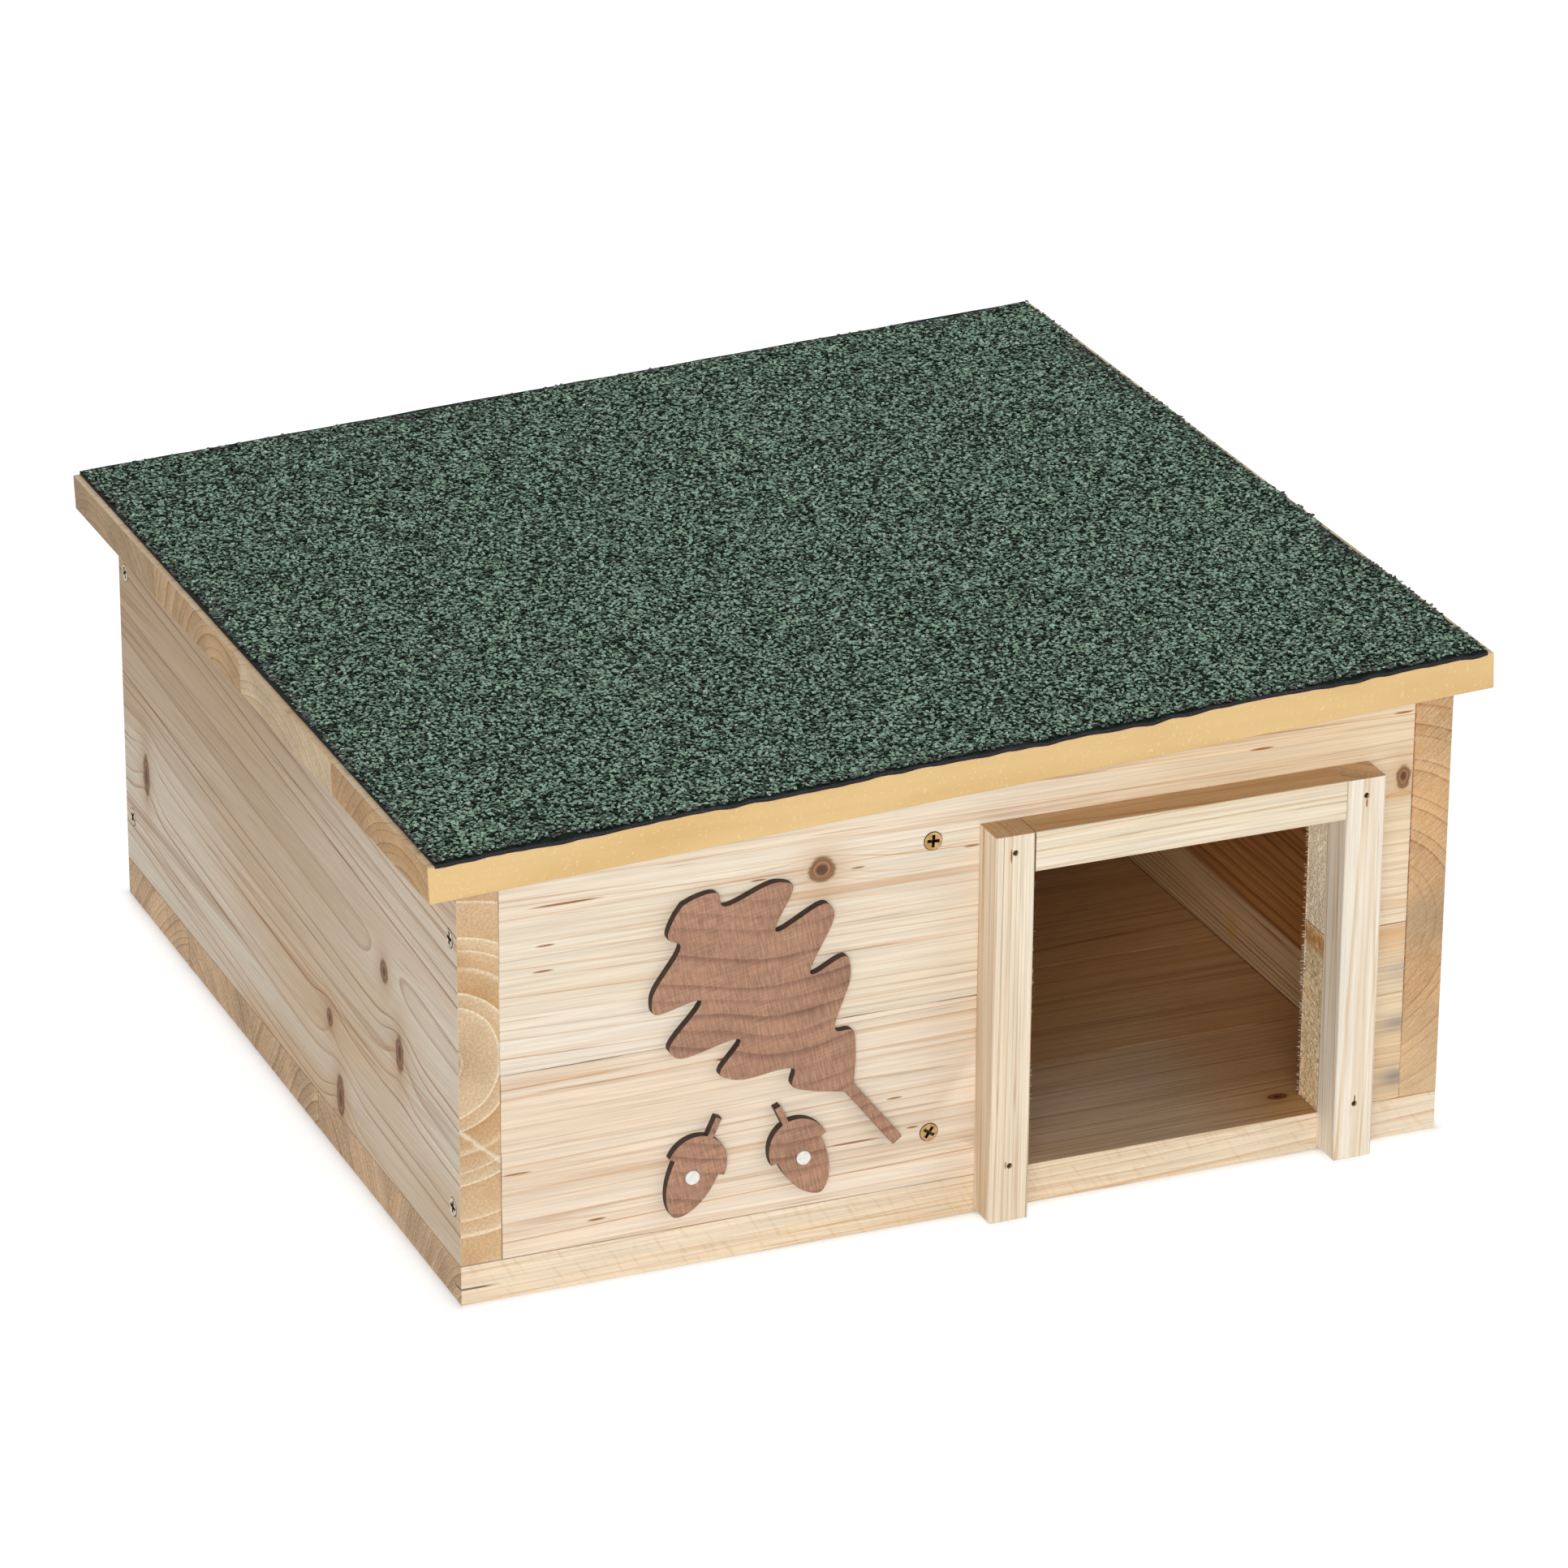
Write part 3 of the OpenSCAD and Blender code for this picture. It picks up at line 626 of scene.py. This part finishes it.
plaque_finish = [brown_wood("plaque_wood"), charred("plaque_edge")]
plaque_arris = 0.25 * mm
rim_angle = math.radians(60)
for node in ("leaf_plaque", "left_acorn_plaque", "right_acorn_plaque"):
    cutout = joined(node)
    rim = [e for e in cutout.edges if len(e.link_faces) == 2 and e.calc_face_angle() > rim_angle
           and max(v.co.y for v in e.verts) < front_low.y - 1 * mm]
    ease(cutout, rim, plaque_arris)
    for face in cutout.faces:
        face.material_index = 0 if face.normal.y < -0.9 else 1
    settle(cutout, f"{node}_cutout", "house", "plaque_wood", plaque_finish, node)

dot_arris = 0.12 * mm
dots = joined("plaque_dots")
dot_face = min(v.co.y for v in dots.verts)
dot_rim = [e for e in dots.edges if all(v.co.y < dot_face + 0.01 * mm for v in e.verts)]
ease(dots, dot_rim, dot_arris, 3)
settle(dots, "white_dots", "house", "white_paint", [white_paint("white_dot_paint")], "plaque_dots")

# Screws
# Countersunk cross-head wood screws of plated steel, driven flush: pale ones through the side walls, yellow
# ones through the front wall into the inner wall, and up through the floor. Their recesses and the grooves
# round their heads are painted dark as shade, and each stands at its own turn.


def zinc(name, bright, dull, tarnish):
    """Zinc plating, mottled, tarnished in places and lightly scuffed."""
    material, place = finish(name)
    mottle = place.noise([420] * 3, [2, 8, 5], 3.0)
    scuff = place.noise([2600, 700, 2600], [1, 4, 9])
    colour = mottle.rise(0.35, 0.65).between(bright, dull)
    colour = (mottle.rise(0.62, 0.8) * 0.6).between(colour, tarnish)
    return coat(material, scuff + mottle * 0.5, 0.05 * mm, Base_Color=colour, Metallic=0.9,
                Roughness=scuff * 0.3 + mottle * 0.15 + 0.22)


def islands(node):
    """Lowest and highest corner of each separate solid in a CAD node."""
    bm = copied(node)
    left_over, boxes = set(bm.verts), []
    while left_over:
        found = fresh = {left_over.pop()}
        while fresh:
            fresh = {edge.other_vert(vert) for vert in fresh for edge in vert.link_edges} - found
            found = found | fresh
        left_over -= found
        corners = np.array([v.co for v in found])
        boxes.append((Vector(corners.min(0)), Vector(corners.max(0))))
    bm.free()
    return sorted(boxes, key=lambda box: tuple(round(c, 5) for c in box[0]))


def turned(bm, profile, steps):
    """Spins a profile of radii and heights about +Z."""
    verts = [bm.verts.new((r, 0.0, z)) for r, z in profile]
    edges = [bm.edges.new(pair) for pair in zip(verts, verts[1:])]
    bmesh.ops.spin(bm, geom=verts + edges, axis=(0, 0, 1), cent=(0, 0, 0), steps=steps, angle=math.tau,
                   use_merge=True)


def cross_head_screw(head_r, length):
    """A countersunk screw along +Z, with its head's face at the origin and a tapered cross recess in it.

    The face has the first material, and the recess, rim and shank the second, darker one, which paints the
    shade in the recess and the groove round the head."""
    shank_r, face_r, lip = head_r / 2, head_r * 0.87, 0.12 * head_r
    cone = head_r - shank_r
    arm, half_slot, recess = head_r * 0.62, head_r * 0.16, 0.9 * cone
    face_room = 1e-7
    bm = bmesh.new()
    turned(bm, [(face_r, 0.0), (head_r, lip), (head_r, lip * 2.2), (shank_r, cone + lip),
                (shank_r, length - 2 * shank_r), (0.0, length)], 40)
    bmesh.ops.remove_doubles(bm, verts=bm.verts, dist=weld)
    corner = [(arm, -half_slot), (arm, half_slot), (half_slot, half_slot)]
    outline = []
    for quarter in range(4):
        turn = Matrix.Rotation(quarter * math.pi / 2, 3, "Z")
        outline += [bm.verts.new(turn @ Vector((x, y, 0.0))) for x, y in corner]
    cross = [bm.edges.new(pair) for pair in zip(outline, outline[1:] + outline[:1])]
    rim = [e for e in bm.edges if len(e.link_faces) == 1 and all(abs(v.co.z) < face_room for v in e.verts)]
    bmesh.ops.triangle_fill(bm, use_beauty=True, edges=rim + cross)
    outside = {f for f in bm.faces if f.calc_center_median().z < face_room}
    for taper, sink in ((0.9, 0.5), (0.62, 1.0)):
        deeper = bmesh.ops.extrude_edge_only(bm, edges=cross)["geom"]
        moved = [v for v in deeper if isinstance(v, bmesh.types.BMVert)]
        bmesh.ops.scale(bm, verts=moved, vec=(taper, taper, 1.0))
        for vert in moved:
            vert.co.z = sink * recess
        cross = [e for e in deeper if isinstance(e, bmesh.types.BMEdge)]
    bmesh.ops.triangle_fill(bm, use_beauty=True, edges=cross)
    for face in bm.faces:
        face.material_index = 0 if face in outside else 1
    bmesh.ops.recalc_face_normals(bm, faces=bm.faces)
    shape = bpy.data.meshes.new("cross_head_screw")
    bm.to_mesh(shape)
    bm.free()
    return shape


def drive_screws(node, material, slot, inward, shape, body="house"):
    """Sets a copy of the screw in each place that a CAD node has, its head outwards, turned by chance."""
    together = bmesh.new()
    head_r = max(v.co.x for v in shape.vertices)
    for low, high in islands(node):
        head = (low + high) / 2
        drive = Vector(inward(head)).normalized()
        main = max(range(3), key=lambda axis: abs(drive[axis]))
        head[main] = low[main] if drive[main] > 0 else high[main]
        head += drive * head_r * math.sqrt(max(0.0, 1 - drive[main] ** 2))
        start = len(together.verts)
        together.from_mesh(shape)
        together.verts.ensure_lookup_table()
        own_turn = Matrix.Rotation(draw.uniform(0, 1.5), 4, "Z")
        turn = drive.to_track_quat("Z", "Y").to_matrix().to_4x4() @ own_turn
        bmesh.ops.transform(together, matrix=Matrix.Translation(head) @ turn, verts=together.verts[start:])
    settle(together, f"zinc_{node}", body, slot, [material, recess_shade], node)


yellow_zinc = zinc("yellow_zinc", "D2B27C", "B38D58", "8A744A")
pale_zinc = zinc("pale_zinc", "D6CAB4", "A89A80", "6F6453")
# Painted shade: a dark plating for the cross recesses, the grooves round the heads and the shanks.
recess_shade = zinc("recess_shade", "5A4A34", "3A2E20", "231A12")
screw_low, screw_high = islands("partition_screws")[0]
screw_head_r = (screw_high.x - screw_low.x) / 2
wall_screw = cross_head_screw(screw_head_r, screw_high.y - screw_low.y)
screw_low, screw_high = islands("floor_screws")[0]
floor_screw = cross_head_screw(screw_head_r, screw_high.z - screw_low.z)
drive_screws("wall_screws", pale_zinc, "zinc_screw", lambda at: (-at.x, 0, 0), wall_screw)
drive_screws("partition_screws", yellow_zinc, "zinc_screw", lambda at: (0, 1, 0), wall_screw)
drive_screws("floor_screws", yellow_zinc, "zinc_screw", lambda at: (0, 0, 1), floor_screw)

# Brads
# Thin headed steel nails shot through the uprights of the door frame, their heads punched just below the
# surface.
brad_steel = zinc("brad_steel", "4E3F31", "38291D", "241A12")
punched, brad_tip = 0.8 * mm, 2 * mm
brads = bmesh.new()
for low, high in islands("frame_brads"):
    start = len(brads.verts)
    length, head_r = high.y - low.y, (high.x - low.x) / 2
    shank_r = head_r * 0.62
    turned(brads, [(0.0, punched), (head_r * 0.8, punched), (head_r, punched * 1.15),
                   (shank_r, punched * 2.0), (shank_r, length - brad_tip), (0.0, length)], 16)
    brads.verts.ensure_lookup_table()
    head = Vector(((low.x + high.x) / 2, low.y, (low.z + high.z) / 2))
    into_jamb = Matrix.Translation(head) @ Matrix.Rotation(-math.pi / 2, 4, "X")
    bmesh.ops.transform(brads, matrix=into_jamb, verts=brads.verts[start:])
bmesh.ops.remove_doubles(brads, verts=brads.verts, dist=weld)
bmesh.ops.recalc_face_normals(brads, faces=brads.faces)
settle(brads, "punched_brads", "house", "steel", [brad_steel], "frame_brads")

# Hinges
# Two steel butt hinges, zinc plated: a leaf let into the back wall, a leaf under the roof and a pin through
# their knuckles. Small countersunk screws hold the leaves.
bright_zinc = zinc("hinge_zinc", "C6C8CA", "B2B4B6", "98999B")
hinge_arris = 0.12 * mm
for side in ("left", "right"):
    for part, body in (("wall_leaf", "house"), ("pin", "house"), ("roof_leaf", "roof")):
        node = f"{side}_hinge_{part}"
        settle(planed(node, hinge_arris), f"{node}_steel", body, "steel", [bright_zinc], node)
slope_along = -Vector(frame["joints"][0]["axis"])
slope_up = slope_along.cross(Vector((0, 1, 0)))
screw_low, screw_high = islands("hinge_wall_screws")[0]
hinge_screw = cross_head_screw((screw_high.y - screw_low.y) / 2, screw_high.z - screw_low.z)
drive_screws("hinge_wall_screws", bright_zinc, "steel", lambda at: -slope_up, hinge_screw)
drive_screws("hinge_roof_screws", bright_zinc, "steel", lambda at: slope_up, hinge_screw, "roof")

# Roof boards
# Four pine boards glued edge to edge, with the grain from left to right, that overhang the walls all round.
# Their ends show on the left and right, and the front edge is sealed with a smooth yellow coat.


def yellow_seal(name):
    """A brushed yellow coat, patchy and faintly speckled."""
    material, place = finish(name)
    brush = place.noise([6, 300, 900], [2, 3, 4])
    patch = place.noise([14, 60, 60], [5, 1, 2])
    speck = place.noise([700] * 3, [3, 9, 6])
    colour = (patch.rise(0.35, 0.7) * 0.6).between("E6C387", "D9B070")
    colour = (speck.rise(0.6, 0.72) * 0.4).between(colour, "F3DDAE")
    colour = colour.scaled(brush * 0.08 + 0.96)
    return coat(material, speck + brush, 0.06 * mm, Base_Color=colour, Roughness=patch * 0.2 + 0.36)


sealed_edge = yellow_seal("yellow_seal")
roof_arris = 0.5 * mm
roof_low, roof_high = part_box("roof_board_1")
roof_board_d = roof_high.y - roof_low.y
roof_ends = [("E2BA8A", "B08454"), ("E6CFAC", "BE9C72"), ("D8B78C", "A67C4E"), ("CEB08A", "A5835A")]
roof_knots = [[(-120, 18, 5, 4)], [(95, -20, 7, 5), (-40, 31, 3, 2.5)], [],
              [(-10, 5, 6, 5), (150, -28, 4, 4)]]
for i, ((roof_end, roof_arc), marks) in enumerate(zip(roof_ends, roof_knots), 1):
    middle = roof_low.y + (i - 0.5) * roof_board_d
    knots = [(x * mm, middle + y * mm, long * mm, wide * mm) for x, y, long, wide in marks]
    pine = wood(
        f"roof_pine_{i}", "XYZ", heart=(middle + (-1) ** i * 25 * mm, 150 * mm - 22 * mm * (i % 3)),
        lean=(0.02, 0.043), ring=4.0 * mm, pale="E8D3B2", blush="DBBB91", line="B68C5E", end=roof_end,
        arc=roof_arc, seed=91 + 5 * i, knots=knots)
    board = planed(f"roof_board_{i}", roof_arris if i == 1 else panel_arris)
    for face in board.faces:
        face.material_index = 1 if i == 1 and face.normal.y < -0.6 else 0
    settle(board, f"roof_board_{i}_pine", "roof", "roof_pine", [pine, sealed_edge], f"roof_board_{i}")

# Roofing felt
# A sheet of bitumen felt stuck flat to the boards, its edges cut by hand and a little wavy. It is covered
# with flat green slate chippings that are pressed into the hot bitumen and thin out along the edges.
roof_turn = Matrix((slope_along, Vector((0, 1, 0)), slope_up))
felt_corners = np.array([roof_turn @ v.co for v in frame["nodes"]["roof_felt"].data.vertices])
felt_low, felt_high = Vector(felt_corners.min(0)), Vector(felt_corners.max(0))
felt_middle, felt_half = (felt_low + felt_high) / 2, (felt_high - felt_low) / 2
felt_inset = felt_low.y - roof_low.y
sheet_t = 1.5 * mm
sheet_top = felt_low.z + sheet_t
sheet_waves = 0.25 * mm
sheet_steps = 160
front_overhang = 0.3 * mm
edge_room = 0.15 * mm


def bitumen(name, dark, light):
    """Gritty bitumen with a little grey dust."""
    material, place = finish(name)
    grit = place.noise([1400] * 3, [1, 2, 3])
    dust = place.noise([60] * 3, [4, 5, 6])
    colour = (grit.rise(0.5, 0.75) * 0.5).between(dark, light)
    colour = (dust.rise(0.55, 0.75) * 0.15).between(colour, "4E4F50")
    return coat(material, grit, 0.25 * mm, Base_Color=colour, Roughness=grit * 0.25 + 0.6,
                Specular_IOR_Level=0.05)


def edge_wave(along, side):
    """How far the hand-cut edge wanders in from the boards' edge, or out past it where it is negative."""
    slow = noise.noise(Vector((along * 22, side * 9.0, 1.0)))
    quick = noise.noise(Vector((along * 120, side * 9.0, 5.0)))
    return (0.9 * slow + 0.5 * quick) * mm


sheet = bmesh.new()
bmesh.ops.create_grid(sheet, x_segments=sheet_steps, y_segments=sheet_steps, size=1.0)
for vert in sheet.verts:
    share_x, share_y = vert.co.xy
    spot = Vector((share_x * felt_half.x, share_y * felt_half.y, 0.0))
    droop = 0.0
    if abs(share_x) > 0.999:
        inwards = max(edge_room, 0.5 * edge_wave(spot.y, 1 + share_x))
        spot.x -= math.copysign(inwards - felt_inset, share_x)
    if share_y > 0.999:
        spot.y -= max(edge_room, edge_wave(spot.x, 6.0)) - felt_inset
    elif share_y < -0.999:
        outwards = front_overhang - edge_wave(spot.x, 4.0)
        spot.y -= outwards + felt_inset
        droop = max(0.0, outwards)
    spot.z = sheet_waves * (noise.noise(spot * 60) - 0.6) - droop
    vert.co = spot + Vector((felt_middle.x, felt_middle.y, sheet_top))
lower = bmesh.ops.extrude_face_region(sheet, geom=sheet.faces[:])["geom"]
for vert in (v for v in lower if isinstance(v, bmesh.types.BMVert)):
    vert.co.z = min(felt_low.z, vert.co.z - sheet_t)
bmesh.ops.transform(sheet, matrix=roof_turn.transposed().to_4x4(), verts=sheet.verts)
bmesh.ops.recalc_face_normals(sheet, faces=sheet.faces)
for face in sheet.faces:
    face.material_index = 1 if face.normal.z > 0.7 else 0
sheet_finish = [bitumen("bitumen_edge", "312F32", "565357"), bitumen("gritted_bitumen", "131D16", "34463A")]
settle(sheet, "bitumen_sheet", "roof", "roofing_felt", sheet_finish, "roof_felt")


def chippings(name):
    """Green slate, each chip in its own tone, darker down its sides as painted shade, rare pale chips as
    painted glints, and grey where it is worn.
    """
    material, place = finish(name)
    tone = place.node("Attribute", {"attribute_name": "tone"}, {}, "Fac")
    worn = place.node("Attribute", {"attribute_name": "worn"}, {}, "Fac")
    grit = place.noise([1300, 1000, 1300], [3, 1, 7]).rise(0.3, 0.7)
    dust = place.noise([45] * 3, [8, 2, 4])
    colour = tone.rise(0.0, 0.9).between("0E1811", "AACBB1")
    # Painted glints: the palest chips.
    colour = tone.rise(0.93, 1.0).between(colour, "CFDAD1")
    colour = (dust.rise(0.6, 0.85) * 0.2).between(colour, "4E5852")
    colour = (worn * 0.8).between(colour, "555356")
    colour = colour.scaled(grit * 0.7 + 0.62)
    return coat(material, grit, 0.15 * mm, Base_Color=colour, Roughness=grit * 0.2 + tone * -0.15 + 0.62,
                Specular_IOR_Level=0.05)


def chip_shape(sides, seed):
    """A flat broken flake of slate about 1 across, lying on z = 0, as vertices and faces."""
    chance = random.Random(seed)
    bm = bmesh.new()
    bmesh.ops.create_circle(bm, cap_ends=True, segments=sides, radius=0.5)
    for vert in bm.verts:
        vert.co *= chance.uniform(0.75, 1.15)
        vert.co.y *= 0.66
    top = bmesh.ops.extrude_face_region(bm, geom=bm.faces[:])["geom"]
    for vert in (v for v in top if isinstance(v, bmesh.types.BMVert)):
        vert.co = Vector((vert.co.x * 0.9, vert.co.y * 0.9, chance.uniform(0.13, 0.22)))
    bmesh.ops.recalc_face_normals(bm, faces=bm.faces)
    bm.verts.index_update()
    verts = np.array([v.co for v in bm.verts])
    faces = [[v.index for v in f.verts] for f in bm.faces]
    bm.free()
    return verts, faces


chip_slate = chippings("green_slate")
chip_shapes = [chip_shape(sides, seed) for seed, sides in enumerate((4, 5, 5, 4, 5, 4, 5, 5))]
chip_bands = 7
chip_pitch = 1.42 * mm
chip_stray, chip_tilt = 0.42, 0.17
chip_size_mm, chip_lift_mm = (1.4, 2.8), (-0.3, 0.3)
glint_share = 0.005
front_reach, left_bare, widest_bare = 1.3 * mm, 0.9 * mm, 1.1
chips_along = int((felt_high.x - felt_low.x + 2 * felt_inset) / chip_pitch)
chips_deep = int((felt_high.y - felt_low.y + 2 * felt_inset) / chip_pitch)


def scatter_chips(name, first_row, last_row):
    """One band of chippings on the sheet, a chip for each cell of a loose grid, each with its own tone."""
    chance = np.random.default_rng(first_row)
    grid = np.meshgrid(np.arange(chips_along), np.arange(first_row, last_row))
    cells = np.stack(grid, -1).reshape(-1, 2)
    low, high = np.array(felt_low)[:2], np.array(felt_high)[:2]
    stray = chance.uniform(-chip_stray, chip_stray, cells.shape)
    spots = (cells + 0.5 + stray) * chip_pitch + low - felt_inset
    margin = np.minimum(spots - low + [-left_bare, front_reach], high - spots).min(1)
    rubbed = np.array([max(0.0, noise.noise(Vector((*spot * 26, 3.0)))) for spot in spots])
    bare = (chance.uniform(0.0, widest_bare, len(spots)) + 3.0 * rubbed) * mm
    kept = margin > bare
    spots, margin, rubbed = spots[kept], margin[kept], rubbed[kept]
    wear = (chance.random(len(spots)) < np.exp(-margin / ((2 + 9 * rubbed) * mm))).astype(float)
    kinds = chance.integers(len(chip_shapes), size=len(spots))
    places, faces, tones, wears = [], [], [], []
    total = 0
    for kind, (verts, outline) in enumerate(chip_shapes):
        own = spots[kinds == kind]
        size = chance.uniform(*chip_size_mm, (len(own), 1, 1)) * mm
        yaw = chance.uniform(0, math.tau, len(own))
        tilt = chance.normal(0, chip_tilt, (2, len(own)))
        flake = verts[None] * size
        x = flake[..., 0] * np.cos(yaw)[:, None] - flake[..., 1] * np.sin(yaw)[:, None]
        y = flake[..., 0] * np.sin(yaw)[:, None] + flake[..., 1] * np.cos(yaw)[:, None]
        lift = chance.uniform(*chip_lift_mm, len(own)) * mm
        z = flake[..., 2] + x * tilt[0][:, None] + y * tilt[1][:, None] + lift[:, None]
        z = np.minimum(z, felt_high.z - sheet_top - edge_room)
        lying = np.stack([x + own[:, :1], y + own[:, 1:], z + sheet_top], -1).reshape(-1, 3)
        lying[:, :2] = np.clip(lying[:, :2], low - felt_inset + edge_room, high + felt_inset - edge_room)
        places.append(lying)
        starts = total + len(verts) * np.arange(len(own))
        for face in outline:
            faces += (starts[:, None] + np.array(face)).tolist()
        tone = chance.beta(1.2, 0.95, len(own)) * 0.9
        # Rare chips get the top tone, painted pale as glints.
        tone[chance.random(len(own)) < glint_share] = 1.0
        # A chip's lower corners get tone 0, the darkest green, so its sides darken towards the sheet as
        # painted shade.
        tones.append((tone[:, None] * (verts[:, 2] > 0.01)).ravel())
        wears.append(np.repeat(wear[kinds == kind], len(verts)))
        total += len(lying)
    mesh = bpy.data.meshes.new(name)
    level = np.concatenate(places) @ np.array(roof_turn)
    mesh.from_pydata(level.tolist(), [], faces)
    mesh.attributes.new("tone", "FLOAT", "POINT").data.foreach_set("value", np.concatenate(tones))
    mesh.attributes.new("worn", "FLOAT", "POINT").data.foreach_set("value", np.concatenate(wears))
    settle(mesh, name, "roof", "roofing_felt", [chip_slate])


for band in range(chip_bands):
    scatter_chips(f"slate_chippings_{band + 1}", band * chips_deep // chip_bands,
                  (band + 1) * chips_deep // chip_bands)

# Studio
# A pale seamless floor, a large soft key light at the front left, smaller ones at the front right, above
# and behind, and an even white world. The floor glows white to the camera, less so at the foot of the
# house, which paints a contact shade there and lets the floor's own shade show through.
scene = bpy.context.scene
scene.view_settings.view_transform = "Standard"


def seen_rays(nodes):
    """1 for a ray from the camera, or from metal or glass that shows the background."""
    rays = Shade(nodes.new("ShaderNodeLightPath").outputs["Is Camera Ray"])
    return rays.most(rays.of("Is Glossy Ray")).most(rays.of("Is Transmission Ray"))


ground = bmesh.new()
bmesh.ops.create_grid(ground, x_segments=1, y_segments=1, size=15.0)
ground_mesh = bpy.data.meshes.new("studio_floor")
ground.to_mesh(ground_mesh)
ground.free()
studio_floor = bpy.data.objects.new("studio_floor", ground_mesh)
scene.collection.objects.link(studio_floor)
floor_white, ground_place = finish("studio_white")
white_nodes = floor_white.node_tree.nodes
matt = white_nodes["Principled BSDF"]
plug(matt.inputs["Base Color"], "F4F4F4")
plug(matt.inputs["Roughness"], 0.9)
seen = seen_rays(white_nodes)
ground_spot = ground_place.node("SeparateXYZ", {}, {"Vector": ground_place})
beyond = [(abs(ground_spot.of(axis)) - floor_high.x).most(0.0) for axis in "XY"]
from_house = beyond[0].span(beyond[1])
foot_reach = 3 * mm
# Painted contact shade: the floor's glow dims within a few millimetres of the house's foot, darkening it
# there under any light.
foot = (from_house / -foot_reach).exponent()
glow = seen.node("Emission", {}, {"Color": "FFFFFF", "Strength": 1.7})
shares = {"Fac": seen * (0.47 - foot * 0.3), "Shader": Shade(matt.outputs[0]), "Shader_001": glow}
plug(white_nodes["Material Output"].inputs["Surface"], seen.node("MixShader", {}, shares))
ground_mesh.materials.append(floor_white)

world = bpy.data.worlds.new("studio_world")
scene.world = world
world.use_nodes = True
fill_level = 0.3
sky = world.node_tree.nodes["Background"]
plug(sky.inputs["Color"], "FFFFFF")
plug(sky.inputs["Strength"], seen_rays(world.node_tree.nodes) * (1 - fill_level) + fill_level)


def softbox(name, spot, target, size, power):
    """A round soft lamp that faces a target, its size in metres and its power in watts."""
    lamp = bpy.data.lights.new(name, "AREA")
    lamp.shape = "DISK"
    lamp.size = size
    lamp.energy = power
    holder = bpy.data.objects.new(name, lamp)
    scene.collection.objects.link(holder)
    holder.location = spot
    holder.rotation_euler = (Vector(target) - Vector(spot)).to_track_quat("-Z", "Y").to_euler()


house_middle = (0.0, 0.0, 0.1)
softbox("key_light", (-1.25, -3.15, 1.0), house_middle, size=2.2, power=60)
softbox("fill_light", (2.8, -2.2, 1.0), house_middle, size=1.8, power=18)
softbox("top_light", (0.1, -0.3, 2.9), (0.0, 0.0, 0.0), size=2.4, power=6)
softbox("back_light", (0.6, 2.6, 2.2), house_middle, size=1.8, power=22)

# Camera
# It stands to the left of the doorway and looks down on the roof through a long lens, from the place that
# was fitted to the corners of the house.
view_turn = math.radians(-22.565)
view_lift = math.radians(23.316)
view_roll = math.radians(0.331)
camera_spot = Vector((-0.98415, -2.38508, 1.20801))
back = Vector((math.sin(view_turn) * math.cos(view_lift), -math.cos(view_turn) * math.cos(view_lift),
               math.sin(view_lift)))
camera_data = bpy.data.cameras.new("camera")
camera_data.lens = 163.18
camera_data.sensor_width = 36.0
camera_data.shift_x = 0.0049
camera_data.shift_y = 0.0011
camera = bpy.data.objects.new("camera", camera_data)
scene.collection.objects.link(camera)
aim = back.to_track_quat("Z", "Y").to_matrix().to_4x4() @ Matrix.Rotation(view_roll, 4, "Z")
camera.matrix_world = Matrix.Translation(camera_spot) @ aim
scene.camera = camera
